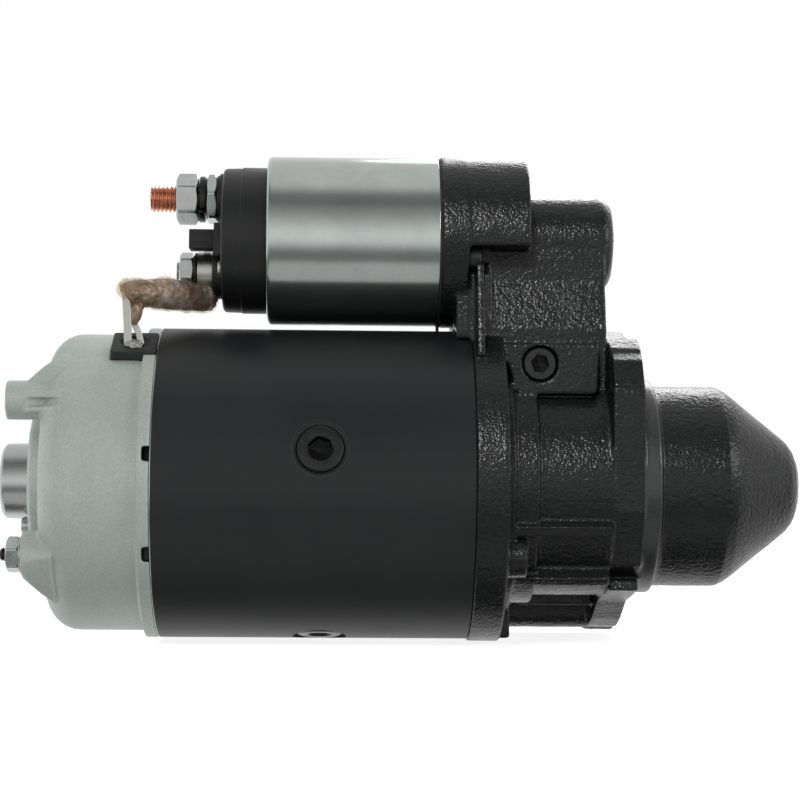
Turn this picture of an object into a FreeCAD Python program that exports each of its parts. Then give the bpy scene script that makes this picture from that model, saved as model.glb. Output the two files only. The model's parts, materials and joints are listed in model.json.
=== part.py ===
import FreeCAD, Part
import math
import os

# Engine starter motor with overrunning pinion drive and a piggy-back solenoid.
# Frame: origin where the shaft axis meets the mounting face of the flange,
# +X along the shaft towards the nose, +Z up towards the solenoid, millimetres.
# "Front" is the +X end and "rear" the -X end. SOL is short for solenoid, COMM for commutator.

os.makedirs("parts", exist_ok=True)
Vector = FreeCAD.Vector

# ---------------------------------------------------------------- driving dimensions
POLE_R = 57.5            # pole housing outer radius
POLE_BORE = 49.5         # pole housing bore radius
POLE_X0, POLE_X1 = -175.5, -61.5
POLE_SCREW_X = -116.2    # plane of the pole screws
POLE_ANGLES = [12.4 + 90 * k for k in range(4)]  # degrees from -Y towards +Z

COVER_R = 55.0           # commutator end cover
COVER_BACK = -215.5
COVER_INNER = -209.5     # inner end of the cover's bush bore
HUB_BACK = -221.8
BOLT_CIRCLE = 46.4       # through bolts
BOLT_ANGLE = -34.0
BOLT_R = 2.5
THREAD_R = BOLT_R + 0.02
BOLT_HOLE_R = BOLT_R + 0.25
CAP_R = 14.25            # rear bearing cap
CAP_SCREWS = [(-8.4, -16.5), (8.4, 16.5)]  # (y, z)

RING_R = 58.3            # drive end housing ring
BARREL_R = 41.0
FLANGE_T = 11.6
PILOT_R, PILOT_L = 40.0, 6.5
NOSE_R, NOSE_END = 37.4, 63.0
HOLE_R, HOLE_Y, HOLE_Z = 6.5, 46.0, 46.0

SOL_Z = 91.0             # solenoid axis height
SOL_R = 31.6
SOL_X0, SOL_X1 = -137.0, -73.5
SEAT_X0, SEAT_X1 = -72.7, -62.8
SOL_SCREWS = [(-23.3, 83.0), (23.3, 83.0)]  # (y, z)
SWITCH_CAP_R = 27.4

SHAFT_R_REAR, SHAFT_R_MID, SHAFT_R_FRONT, SHAFT_R_NOSE = 7.0, 10.0, 7.4, 6.5
BUSH_GAP = 0.05          # radial gap between shaft and bush
REAR_BUSH_R = 9.0        # outer radii of the bushes
MID_BUSH_R = 12.0
NOSE_BUSH_R = 8.5
PINION_BUSH_R = 9.0
BUSH_FRONT = 60.5        # front end of the nose bush
CORE_R = 37.3
CORE_X0, CORE_X1 = -154.0, -79.0
COMM_R = 23.0
PINION_TEETH, PINION_RO, PINION_RI = 9, 17.6, 10.9
PINION_X0, PINION_X1 = 8.0, 30.0

PIVOT_X, PIVOT_Z = -37.0, 44.0
LEVER_TILT = 8.47        # rest tilt, degrees
PLUNGER_R = 12.5
PLUNGER_PIN_X = -30.0

STUD_Z, MOTOR_STUD_Z = 106.5, 79.0
STUD_THREAD_R, MOTOR_STUD_R = 4.75, 4.0
LEAD_TILT = 29.0         # where the lead enters the end cover, degrees from +Z to -Y


# ---------------------------------------------------------------- helpers
def cyl_x(x0, x1, radius, y=0.0, z=0.0):
    return Part.makeCylinder(radius, x1 - x0, Vector(x0, y, z), Vector(1, 0, 0))


def cyl_y(y0, y1, radius, x, z):
    return Part.makeCylinder(radius, y1 - y0, Vector(x, y0, z), Vector(0, 1, 0))


def tube(x0, x1, outer, inner, y=0.0, z=0.0):
    return cyl_x(x0, x1, outer, y, z).cut(cyl_x(x0 - 1, x1 + 1, inner, y, z))


def box(x0, x1, y0, y1, z0, z1):
    return Part.makeBox(x1 - x0, y1 - y0, z1 - z0, Vector(x0, y0, z0))


def face(points):
    return Part.Face(Part.makePolygon(points + [points[0]]))


def lathe(profile, y=0.0, z=0.0):
    """Solid of revolution about the line parallel to X through (y, z); profile is (x, r)."""
    outline = face([Vector(x, y, z + radius) for x, radius in profile])
    return outline.revolve(Vector(0, y, z), Vector(1, 0, 0), 360)


def prism_x(yz, x0, x1):
    return face([Vector(x0, y, z) for y, z in yz]).extrude(Vector(x1 - x0, 0, 0))


def prism_y(xz, y0, y1):
    return face([Vector(x, y0, z) for x, z in xz]).extrude(Vector(0, y1 - y0, 0))


def polar(radius, degrees):
    angle = math.radians(degrees)
    return radius * math.cos(angle), radius * math.sin(angle)


def shaft_polar(radius, degrees):
    """(y, z) about the shaft; the angle runs from -Y towards +Z."""
    across, up = polar(radius, degrees)
    return -across, up


def arc(x, r, radius, start, end, steps):
    """Profile points (x, r) along an arc about the given centre."""
    offsets = [polar(radius, start + (end - start) * i / steps) for i in range(steps + 1)]
    return [(x + dx, r + dr) for dx, dr in offsets]


def hexagon(corner_r, centre, turn=0.0):
    offsets = [polar(corner_r, 60 * k + turn) for k in range(6)]
    return [(centre[0] + du, centre[1] + dv) for du, dv in offsets]


def fuse(items):
    result = items[0]
    for item in items[1:]:
        result = result.fuse(item)
    return result.removeSplitter()


def cut(result, tools):
    for tool in tools:
        result = result.cut(tool)
    return result


def stepped(steps, z=0.0):
    """Coaxial cylinders joined; steps are (x0, x1, radius)."""
    return fuse([cyl_x(x0, x1, radius, 0, z) for x0, x1, radius in steps])


def rot_x(shape, degrees):
    turned = shape.copy()
    turned.rotate(Vector(0, 0, 0), Vector(1, 0, 0), degrees)
    return turned


def around(shape, count):
    return [rot_x(shape, 360.0 * k / count) for k in range(count)]


def copies_at(shape, angles):
    """Copies of a shape built on -Y, turned towards +Z by each angle."""
    return [rot_x(shape, -angle) for angle in angles]


def hex_nut(x0, x1, across_flats, y, z, turn):
    """Chamfered hexagon along X, without its bore."""
    corner = across_flats / math.sqrt(3.0)
    chamfer = 0.16 * corner
    run = chamfer * 0.6
    envelope = lathe([(x0, 0), (x0, corner - chamfer), (x0 + run, corner + 0.05),
                      (x1 - run, corner + 0.05), (x1, corner - chamfer), (x1, 0)], y, z)
    return prism_x(hexagon(corner, (y, z), turn), x0, x1).common(envelope)


def split_ring(x0, x1, outer, inner, gap):
    """Ring about the shaft with a gap on +Z."""
    return tube(x0, x1, outer, inner).cut(box(x0 - 1, x1 + 1, -gap / 2, gap / 2, 0, outer + 1))


def spring_x(x0, x1, mean_r, wire_r, turns, z=0.0):
    """Helical compression spring along X between the two outside faces."""
    length = (x1 - x0) - 2 * wire_r
    helix = Part.makeHelix(length / turns, length, mean_r)
    # ten-sided section with about the area of the round wire
    offsets = [polar(wire_r * 1.04, 36 * k) for k in range(10)]
    section = [Vector(mean_r + dx, 0, dz) for dx, dz in offsets]
    loop = Part.makePolygon(section + [section[0]])
    spring = Part.Wire(helix).makePipeShell([loop], True, True)
    spring.rotate(Vector(0, 0, 0), Vector(0, 1, 0), 90)
    spring.translate(Vector(x0 + wire_r, 0, z))
    return spring


def sector(x0, x1, inner, outer, middle, half):
    """Ring sector about the shaft, angles as in shaft_polar."""
    steps = 16
    reach = outer * 1.02 / math.cos(math.radians(half / steps))
    rim = [shaft_polar(reach, middle - half + 2 * half * i / steps) for i in range(steps + 1)]
    return tube(x0, x1, outer, inner).common(prism_x([(0, 0)] + rim, x0 - 1, x1 + 1))


def save(name, *shapes):
    solids = [solid for shape in shapes for solid in shape.Solids]
    out = solids[0] if len(solids) == 1 else Part.makeCompound(solids)
    out.exportStep("parts/%s.step" % name)


BOLTS = [shaft_polar(BOLT_CIRCLE, BOLT_ANGLE + turn) for turn in (0, 180)]  # (y, z)

# ================================================================= pole housing group
SCREW_SEAT_Y = -POLE_R + 1.6   # wide end of the countersink, on -Y
SCREW_R, SCREW_HEAD_R = 4.95, 8.4
SHOE_X0, SHOE_X1, SHOE_HALF = -150.0, -82.0, 31.0  # half angle in degrees


def cone_at_screw(wide_r, narrow_r, depth):
    return Part.makeCone(wide_r, narrow_r, depth, Vector(POLE_SCREW_X, SCREW_SEAT_Y, 0),
                         Vector(0, 1, 0))


def pole_housing():
    screw_hole = fuse([cyl_y(-POLE_R - 1, SCREW_SEAT_Y, 10.0, POLE_SCREW_X, 0),
                       cyl_y(-POLE_R - 1, -POLE_BORE + 1.5, 5.1, POLE_SCREW_X, 0),
                       cone_at_screw(8.6, 5.1, 3.5)])
    return cut(tube(POLE_X0, POLE_X1, POLE_R, POLE_BORE), copies_at(screw_hole, POLE_ANGLES))


def pole_screw():
    screw = fuse([cyl_y(-POLE_R + 0.6, SCREW_SEAT_Y, SCREW_HEAD_R, POLE_SCREW_X, 0),
                  cone_at_screw(SCREW_HEAD_R, SCREW_R, 3.45),
                  cyl_y(-POLE_R + 5.0, -40.6, SCREW_R, POLE_SCREW_X, 0)])
    return screw.cut(prism_y(hexagon(4.62, (POLE_SCREW_X, 0)), -POLE_R - 1, -POLE_R + 5.2))


def pole_shoe(angle):
    shoe = sector(SHOE_X0, SHOE_X1, 38.0, 49.4, angle, SHOE_HALF)
    return shoe.cut(rot_x(cyl_y(-60, -30, 5.0, POLE_SCREW_X, 0), -angle))


def field_coil(angle):
    opening = sector(SHOE_X0 - 0.5, SHOE_X1 + 0.5, 30.0, 60.0, angle, SHOE_HALF + 0.5)
    return sector(-158, -74, 40.5, 49.0, angle, 39.0).cut(opening)


save("pole_housing", pole_housing())
save("pole_screws", *copies_at(pole_screw(), POLE_ANGLES))
save("pole_shoes", *[pole_shoe(angle) for angle in POLE_ANGLES])
save("field_coils", *[field_coil(angle) for angle in POLE_ANGLES])

# ================================================================= commutator end cover
SUPPORT_Y, SUPPORT_Z = -34.0, 28.9  # support boss
CAP_SEAT = HUB_BACK - 1.0           # rear face of the bearing cap's flange
# thin ribs beside the support boss: bottom z, top z, x at the rear, y at the rim
SUPPORT_RIBS = [(29.4, 31.8, -221.4, -48.6), (24.6, 26.4, -221.0, -49.6)]


def cover_shell():
    corner = 11.0
    profile = [(HUB_BACK, REAR_BUSH_R), (HUB_BACK, 28.6), (HUB_BACK + 1.4, 30.0),
               (COVER_BACK, 30.6), (COVER_BACK, COVER_R - corner)]
    profile += arc(COVER_BACK + corner, COVER_R - corner, corner, 180, 90, 9)[1:]
    profile += [(-180.0, COVER_R), (-180.0, POLE_R), (POLE_X0, POLE_R),
                (POLE_X0, POLE_BORE - 0.05), (-172.5, POLE_BORE - 0.05), (-172.5, 47.5),
                (-178.0, 47.5), (-178.0, 51.0), (-206.5, 51.0)]
    profile += arc(-206.5, 46.0, 5.0, 90, 180, 6)[1:]
    profile += [(-211.5, 17.0), (COVER_INNER, 15.0), (COVER_INNER, REAR_BUSH_R)]
    return lathe(profile)


def cover_boss():
    """Support boss with web and ribs, and the through-bolt boss running out into the rim."""
    items = [cyl_x(-228.0, -211.6, 7.0, SUPPORT_Y, SUPPORT_Z),
             prism_y([(-220.7, 35.6), (-209.8, 45.6), (-207.0, 45.6), (-207.0, 27.0),
                      (-220.7, 27.0)], -37.2, -27.4)]
    for z0, z1, rear_x, rim_y in SUPPORT_RIBS:
        rib = face([Vector(rear_x, -40.6, z0), Vector(-208.0, rim_y, z0),
                    Vector(-208.0, SUPPORT_Y, z0), Vector(rear_x, SUPPORT_Y, z0)])
        items.append(rib.extrude(Vector(0, 0, z1 - z0)))
    y, z = BOLTS[0]
    circles = [Part.makeCircle(8.3, Vector(-221.0, y, z), Vector(1, 0, 0)),
               Part.makeCircle(13.6, Vector(-210.0, y + 3.4, z - 4.4), Vector(1, 0, 0))]
    items.append(Part.makeLoft([Part.Wire([circle]) for circle in circles], True, True))
    return fuse(items).common(cyl_x(-230.0, -204.0, COVER_R))


def commutator_end_cover():
    boss = cover_boss()
    support_hole = cyl_x(-230.5, COVER_BACK, 4.0, SUPPORT_Y, SUPPORT_Z)
    tools = []
    for turn, (y, z) in zip((0.0, 180.0), BOLTS):
        tools.append(rot_x(support_hole, turn))
        tools.append(cyl_x(-225, -170, BOLT_HOLE_R, y, z))
    for y, z in CAP_SCREWS:
        tools.append(cyl_x(-224, -213, 2.0, y, z))
    # small windows in the band, on the -Y and +Y sides
    for y0, y1 in ((-60, -48), (48, 60)):
        for z0, z1 in ((7.3, 12.5), (-27.8, -22.6)):
            window = box(-178.2, -175.4, y0, y1, z0, z1)
            tools.append(window.cut(cyl_x(-180, -170, 51.6)))
    # grommet notch at the top, leaning towards -Y, wider at its outer part
    tools.append(rot_x(box(-191.7, -175.4, -8.1, 8.1, 48.0, 60.0), LEAD_TILT))
    tools.append(rot_x(box(-192.2, -175.4, -8.2, 8.2, 54.2, 60.0), LEAD_TILT))
    return cut(fuse([cover_shell(), rot_x(boss, 0.0), rot_x(boss, 180.0)]), tools)


def rear_bearing_cap():
    cup = lathe([(-234.2, 0.0), (-234.2, 11.0), (-233.7, 12.8), (-232.7, 13.8),
                 (-231.3, CAP_R), (CAP_SEAT, CAP_R), (CAP_SEAT, 16.6), (HUB_BACK, 16.6),
                 (HUB_BACK, 13.3), (-231.1, 13.3), (-232.3, 12.8), (-233.0, 11.6),
                 (-233.2, 10.6), (-233.2, 0.0)])
    ears = [cyl_x(CAP_SEAT, HUB_BACK, 4.6, y, z) for y, z in CAP_SCREWS]
    return cut(fuse([cup] + ears), [cyl_x(-226, -219, 2.1, y, z) for y, z in CAP_SCREWS])


def cap_screw(y, z):
    screw = fuse([cyl_x(CAP_SEAT - 3.4, CAP_SEAT, 3.4, y, z),
                  cyl_x(CAP_SEAT - 0.5, -214.0, 1.95, y, z)])
    return screw.cut(box(-227, CAP_SEAT - 2.4, y - 0.5, y + 0.5, z - 4, z + 4))


def through_bolt_nut(y, z):
    flange = lathe([(-222.6, 0), (-222.6, 5.4), (-221.6, 6.9), (-221.0, 7.0), (-221.0, 0)], y, z)
    nut = fuse([hex_nut(-226.6, -222.2, 11.4, y, z, 12.0), flange])
    return nut.cut(cyl_x(-230, -220, THREAD_R, y, z))


save("commutator_end_cover", commutator_end_cover())
save("rear_bearing_cap", rear_bearing_cap())
save("bearing_cap_screws", *[cap_screw(y, z) for y, z in CAP_SCREWS])
save("rear_bush", tube(HUB_BACK, COVER_INNER, REAR_BUSH_R, SHAFT_R_REAR + BUSH_GAP))
save("through_bolts", *[cyl_x(-229.0, -44.6, BOLT_R, y, z) for y, z in BOLTS])
save("through_bolt_nuts", *[through_bolt_nut(y, z) for y, z in BOLTS])

# ================================================================= armature
SPLINE_X0, SPLINE_X1 = -51.0, -8.0
STOP_X1 = 47.0           # front face of the pinion stop ring, where the shaft steps down
SHAFT_STEPS = [          # (x0, x1, radius)
    (-231.0, -209.0, SHAFT_R_REAR), (-208.6, -168.0, 9.0), (-209.0, -208.6, SHAFT_R_REAR),
    (-168.0, -66.0, 10.5), (-66.0, SPLINE_X0, SHAFT_R_MID), (SPLINE_X0, SPLINE_X1, 8.4),
    (SPLINE_X1, STOP_X1, SHAFT_R_FRONT), (STOP_X1, 59.5, SHAFT_R_NOSE)]
CLIP_GROOVES = [(-227.4, -226.2, 6.2), (47.6, 48.4, 5.6)]  # (x0, x1, floor radius)


def armature_shaft():
    rib = box(SPLINE_X0, SPLINE_X1, -1.7, 1.7, 0.0, 9.6).common(cyl_x(SPLINE_X0, SPLINE_X1, 9.6))
    shaft = fuse([stepped(SHAFT_STEPS)] + around(rib, 6))
    return cut(shaft, [tube(x0, x1, 8.0, floor) for x0, x1, floor in CLIP_GROOVES])


def armature_core():
    slot = box(CORE_X0 - 1, CORE_X1 + 1, -1.9, 1.9, 27.0, 35.5)
    slot = slot.fuse(box(CORE_X0 - 1, CORE_X1 + 1, -0.9, 0.9, 35.0, 38.0))
    return cut(tube(CORE_X0, CORE_X1, CORE_R, 10.5), around(slot, 19))


def winding_head(core_x, bulge_x, shoulder_x, end_x):
    return lathe([(core_x, 20), (core_x, 34.5), (bulge_x, 35.0), (shoulder_x, 33.0),
                  (end_x, 28.0), (end_x, 20.0)])


def commutator():
    body = lathe([(-203.0, 9.0), (-203.0, COMM_R), (-172.5, COMM_R), (-172.5, 27.0),
                  (-169.0, 27.0), (-169.0, 9.0)])
    return cut(body, around(box(-204, -168, -0.35, 0.35, 21.2, 28.0), 28))


save("armature_shaft", armature_shaft())
save("armature_core", armature_core())
save("armature_windings", winding_head(CORE_X0, -158, -165, -168.0),
     winding_head(CORE_X1, -75, -69.5, -66.5))
save("commutator", commutator())
save("shaft_clips", *[split_ring(x0 + 0.1, x1 - 0.1, floor + 3.6, floor + 0.05, gap=4.4)
                      for x0, x1, floor in CLIP_GROOVES])
save("thrust_washer", tube(-226.2, HUB_BACK - 0.2, 11.5, SHAFT_R_REAR + 0.15))
save("pinion_stop_ring", tube(44.5, STOP_X1, 11.5, SHAFT_R_FRONT + 0.05))

# ================================================================= brush gear
# holder, brush and spring are built on -Y, then turned into place
BRUSH_ANGLES = [33.0 + 90 * k for k in range(4)]
BRUSH_PLATE_X0, BRUSH_PLATE_X1 = -178.0, -175.6
BRUSH_IN, BRUSH_OUT = COMM_R + 0.05, 38.0
HOLDER_X0, HOLDER_HALF, HOLDER_OUT = -199.9, 9.0, 43.0
BRUSH_SPRING_X = -189.3


def brush_plate():
    plate = tube(BRUSH_PLATE_X0, BRUSH_PLATE_X1, 47.3, 26.0)
    return cut(plate, [cyl_x(-179, -175, 4.2, y, z) for y, z in BOLTS])


def brush_holder():
    sleeve = box(HOLDER_X0, BRUSH_PLATE_X0, -HOLDER_OUT, -28.0, -HOLDER_HALF, HOLDER_HALF)
    sleeve = sleeve.cut(box(-198.3, -180.3, -45.0, -25.0, -7.6, 7.6))
    lid = box(HOLDER_X0, BRUSH_PLATE_X0, -44.4, -HOLDER_OUT, -HOLDER_HALF, HOLDER_HALF)
    return fuse([sleeve, lid])


def brush():
    block = box(-198.1, -180.5, -BRUSH_OUT, -BRUSH_IN, -7.4, 7.4)
    return block.cut(cyl_x(-202, -178, BRUSH_IN))


def brush_spring():
    coil = cyl_y(-42.95, -38.05, 4.6, BRUSH_SPRING_X, 0)
    return coil.cut(cyl_y(-43.5, -37.5, 3.4, BRUSH_SPRING_X, 0))


save("brush_plate", brush_plate())
save("brush_holders", *copies_at(brush_holder(), BRUSH_ANGLES))
save("brushes", *copies_at(brush(), BRUSH_ANGLES))
save("brush_springs", *copies_at(brush_spring(), BRUSH_ANGLES))

# ================================================================= middle bearing plate
MID_X0, MID_X1 = -62.0, -53.0


def middle_bearing_plate():
    plate = lathe([(MID_X0, MID_BUSH_R), (MID_X0, 49.0), (-54.0, 49.0), (-54.0, 45.0),
                   (-57.0, 43.0), (-57.0, 20.0), (MID_X1, 17.0), (MID_X1, MID_BUSH_R)])
    return cut(plate, [cyl_x(-64, -50, BOLT_HOLE_R, y, z) for y, z in BOLTS])


save("middle_bearing_plate", middle_bearing_plate())
save("middle_bush", tube(MID_X0, MID_X1, MID_BUSH_R, SHAFT_R_MID + BUSH_GAP))

# ================================================================= drive end housing
FLANGE_BACK = -FLANGE_T
BOSS_FRONT = FLANGE_BACK + 0.2  # features behind the flange run slightly into it
UPPER_BOSS_R, LOWER_BOSS_R = 14.5, 10.4
PIVOT_BOLT_R = 3.98
FLANGE_OUTLINE = [              # (y, z)
    (-40, -10), (-40, 34), (-27, 50), (-18, 54.0), (6, 56.0), (30, 58.0),
    (44, 60.4), (60.3, 46), (56, 30), (50, 12), (50, -12), (55, -30),
    (57.4, -46), (46, -57.4), (34, -50), (10, -42), (-8, -40.8), (-29, -29)]
NOSE_PROFILE = [                # (x, r)
    (0.0, 0.0), (0.0, PILOT_R), (PILOT_L - 0.8, PILOT_R), (PILOT_L, PILOT_R - 0.8),
    (PILOT_L, NOSE_R), (31.0, NOSE_R), (34.5, 35.8), (37.0, 34.0), (40.0, 31.6),
    (58.0, 17.3), (60.2, 14.6), (61.8, 10.5), (62.7, 6.0), (NOSE_END, 0.0)]
# lever housing section (y, z): walls that widen downwards
LEVER_WALLS = [(-22, 30), (-22, 57.5), (-17.6, 75), (-17.2, SOL_Z),
               (17.2, SOL_Z), (17.6, 75), (22, 57.5), (22, 30)]
PIVOT_PADS = [(-50.5, 51.3), (-15.6, 51.3), (-15.6, 34.6),
              (-17.2, 33.0), (-44.5, 33.0), (-46.4, 34.8)]  # (x, z)


def flange_plate():
    return fuse([prism_x(FLANGE_OUTLINE, FLANGE_BACK, 0),
                 cyl_x(FLANGE_BACK, 0, UPPER_BOSS_R, HOLE_Y, HOLE_Z),
                 cyl_x(FLANGE_BACK, 0, LOWER_BOSS_R, HOLE_Y, -HOLE_Z)])


def barrel_solids():
    """Ring, barrel, flange and nose, with the ribs and bosses round them."""
    solids = [cyl_x(POLE_X1, -50.0, RING_R), cyl_x(-50.5, FLANGE_BACK + 0.5, BARREL_R),
              cyl_x(-50.2, -46.6, 47.0), cyl_x(-46.8, -38.0, 44.0),
              flange_plate(), lathe(NOSE_PROFILE)]
    # longitudinal ribs on both sides of the barrel, with the bolt bosses between
    rib = box(-50.2, BOSS_FRONT, -46.5, -38.0, -2.0, 2.0)
    solids += copies_at(rib, (-21.0, -49.0, 159.0, 131.0))
    solids += [cyl_x(-50.2, -42.6, 7.0, y, z) for y, z in BOLTS]
    # bosses behind the lower and the upper flange hole, small tab under the ring
    solids += [cyl_x(-44.0, BOSS_FRONT, LOWER_BOSS_R, HOLE_Y, -HOLE_Z),
               box(-40.0, BOSS_FRONT, 20.0, HOLE_Y, -HOLE_Z, -24.0),
               cyl_x(-24.0, BOSS_FRONT, UPPER_BOSS_R, HOLE_Y, HOLE_Z),
               box(-24.0, BOSS_FRONT, 20.0, HOLE_Y, 24.0, HOLE_Z),
               box(-50.5, -45.5, -6.0, 6.0, -57.0, -38.0)]
    return solids


def upper_solids():
    """Lever housing, dome round the plunger, pivot pads and solenoid seat."""
    dome = [(-60.0, 0), (-60.0, 17.5)] + arc(-13.5, 12.0, 5.5, 90, 0, 6) + [(-8.0, 0)]
    seat_top = cyl_x(SEAT_X1 - 0.2, -40.5, 31.8, 0, SOL_Z)
    return [prism_x(LEVER_WALLS, -55.5, -11.8),
            lathe(dome, 0, SOL_Z),
            prism_y(PIVOT_PADS, -30.0, 26.0),
            cyl_x(SEAT_X0, SEAT_X1, 32.0, 0, SOL_Z),
            seat_top.common(box(-64, -38, -33, 33, 86.5, 125)),
            # column from the seat down to the ring
            box(SEAT_X1 - 0.2, -54.9, -22, 22, 40, 90),
            box(-62.5, -57.0, -25, 25, 40, 78),
            box(SEAT_X0 + 5.5, -58.0, -24, 24, 46, 80)]


def housing_cuts():
    barrel_chamber = [(-54.2, 0), (-54.2, 38.0), (-50.0, 36.0), (-46.0, 31.0),
                      (31.0, 31.0), (44.0, 20.0), (48.6, 16.0), (48.6, 0)]
    tools = [cyl_x(-63.0, -54.0, 49.05),
             lathe(barrel_chamber),
             cyl_x(48.0, BUSH_FRONT, NOSE_BUSH_R),
             # lever slot, then the plunger bores and the slot below them
             box(-50.0, -21.5, -10.5, 10.5, 25.0, 84.0),
             cyl_x(-74.0, -51.4, 14.0, 0, SOL_Z),
             cyl_x(-52.4, -14.0, 11.0, 0, SOL_Z),
             box(-52.2, -16.0, -8.0, 8.0, SOL_Z - 22.0, SOL_Z),
             # opening in the +Y side of the nose
             box(10.0, 45.0, 0.0, 45.0, -27.0, 27.0),
             # clears the space behind the ring, where the pole housing sits
             cyl_x(-75.0, POLE_X1, RING_R)]
    tools += [cyl_x(-45.0, 1.0, HOLE_R, HOLE_Y, z) for z in (HOLE_Z, -HOLE_Z)]
    # pivot bolt bore with counterbore on the -Y pad
    tools += [cyl_y(-31.0, -24.5, 6.6, PIVOT_X, PIVOT_Z),
              cyl_y(-31.0, 27.0, PIVOT_BOLT_R + 0.04, PIVOT_X, PIVOT_Z)]
    tools += [cyl_x(-55.0, -44.0, THREAD_R, y, z) for y, z in BOLTS]
    # solenoid screw holes with room for the heads
    for y, z in SOL_SCREWS:
        tools += [cyl_x(-74.5, -54.9, 3.2, y, z), cyl_x(SEAT_X1 - 0.1, -53.0, 5.6, y, z)]
    return tools


def drive_end_housing():
    return cut(fuse(barrel_solids() + upper_solids()), housing_cuts()).removeSplitter()


def lever_pivot_bolt():
    bolt = fuse([cyl_y(-29.2, -24.5, 6.1, PIVOT_X, PIVOT_Z),
                 cyl_y(-24.6, 28.0, PIVOT_BOLT_R, PIVOT_X, PIVOT_Z)])
    return bolt.cut(prism_y(hexagon(3.46, (PIVOT_X, PIVOT_Z)), -30.0, -26.0))


def lever_pivot_nut():
    nut = prism_y(hexagon(7.5, (PIVOT_X, PIVOT_Z)), 26.0, 31.0)
    return nut.cut(cyl_y(20, 40, PIVOT_BOLT_R + 0.02, PIVOT_X, PIVOT_Z))


save("drive_end_housing", drive_end_housing())
save("nose_bush", tube(49.0, BUSH_FRONT, NOSE_BUSH_R, SHAFT_R_NOSE + BUSH_GAP))
save("lever_pivot_bolt", lever_pivot_bolt(), lever_pivot_nut())

# ================================================================= overrunning drive
CLUTCH_R = 27.0
CLUTCH_FRONT = -6.0
# half of the tooth pitch is 20 degrees; flank points are (degrees from tooth centre, radius)
TOOTH = [(-12.6, PINION_RI), (-9.0, PINION_RI + 1.6), (-6.6, 14.6), (-3.4, PINION_RO),
         (3.4, PINION_RO), (6.6, 14.6), (9.0, PINION_RI + 1.6), (12.6, PINION_RI)]


def clutch_shell():
    drum = lathe([(-29.0, 0), (-29.0, CLUTCH_R - 1.2), (-27.8, CLUTCH_R),
                  (CLUTCH_FRONT, CLUTCH_R), (CLUTCH_FRONT, 0)])
    shell = fuse([cyl_x(-50.5, -28.5, 13.0), drum])
    shell = cut(shell, [cyl_x(-51.0, -23.9, 8.5), cyl_x(-24.0, -5.0, 20.6),
                        tube(-50.3, -49.0, 15.0, 11.8)])
    spline = box(-51.0, -23.9, -1.8, 1.8, 0, 9.75).common(cyl_x(-51, -23.9, 9.75))
    return cut(shell, around(spline, 6))


def pinion():
    points = [polar(radius, 360.0 * k / PINION_TEETH + offset)
              for k in range(PINION_TEETH) for offset, radius in TOOTH]
    # chamfers the front ends of the teeth
    envelope = lathe([(PINION_X0, 0), (PINION_X0, PINION_RO + 0.1),
                      (PINION_X1 - 2.2, PINION_RO + 0.1), (PINION_X1, PINION_RO - 2.0),
                      (PINION_X1, 0)])
    teeth = prism_x(points, PINION_X0, PINION_X1).common(envelope)
    body = fuse([cyl_x(-23.5, -2.0, 13.4), cyl_x(-2.5, 0.0, 17.0),
                 cyl_x(-0.5, PINION_X0 + 0.5, 13.0), teeth])
    return cut(body, [cyl_x(-24.0, -7.0, 10.0), cyl_x(-8.0, 31.0, PINION_BUSH_R)])


def guide_ring():
    """Flanged ring that the lever pushes."""
    spool = stepped([(-48.3, -38.8, 16.0), (-48.3, -46.3, 21.0), (-40.8, -38.8, 21.0)])
    return spool.cut(cyl_x(-50, -37, 13.1))


save("clutch_shell", clutch_shell())
save("clutch_rollers", *[cyl_x(-22.0, -8.0, 3.4, *polar(17.0, 60 * k)) for k in range(6)])
save("clutch_roller_springs", *around(box(-19.0, -11.0, -1.0, 1.0, 15.0, 19.0), 6))
save("clutch_cover_ring", tube(CLUTCH_FRONT, -3.0, CLUTCH_R, 13.9))
save("drive_snap_ring", split_ring(-50.2, -49.1, 14.6, 11.85, gap=4.0))
save("meshing_spring", spring_x(-38.6, -29.1, mean_r=15.3, wire_r=1.1, turns=3.0))
save("pinion", pinion())
save("pinion_bush", tube(-6.9, 29.8, PINION_BUSH_R, SHAFT_R_FRONT + BUSH_GAP))
save("guide_ring", guide_ring())

# ================================================================= engagement lever
LEVER_HALF = 3.5         # half thickness along X
FORK_REACH = 44.49       # pivot to fork centre
PIN_REACH = 47.52        # pivot to plunger pin


def engagement_lever():
    """Built upright about the pivot, then tilted to its rest position."""
    half = LEVER_HALF
    lever = fuse([cyl_y(-9.0, 9.0, 8.0, 0, 0),
                  box(-half, half, -4.5, 4.5, 4.0, 51.5),
                  box(-half, half, -4.5, 4.5, -20.0, -5.0)])
    fork = tube(-half, half, 27.0, 22.5, 0, -FORK_REACH)
    fork = fork.common(box(-5, 5, -30, 30, -FORK_REACH, 0))
    arms = [box(-half, half, y - 2.25, y + 2.25, -FORK_REACH - 3.5, -44.3)
            for y in (-24.75, 24.75)]
    lever = fuse([lever, fork] + arms)
    lever = lever.cut(box(-2.65, 2.65, -6.0, 6.0, PIN_REACH - 3.4, 60.0))
    lever = lever.cut(cyl_y(-10.0, 10.0, PIVOT_BOLT_R + 0.1, 0, 0))
    lever.rotate(Vector(0, 0, 0), Vector(0, 1, 0), LEVER_TILT)
    lever.translate(Vector(PIVOT_X, 0, PIVOT_Z))
    # pads at the fork tips that sit in the guide ring
    pads = [cyl_y(y0, y0 + 7.4, 2.4, -43.55, 0.0) for y0 in (-24.0, 16.6)]
    return fuse([lever] + pads)


save("engagement_lever", engagement_lever())

# ================================================================= solenoid
BASE_X0 = SOL_X1 - 3.0   # rear face of the base plate
SPOOL_BORE = 12.75


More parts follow.
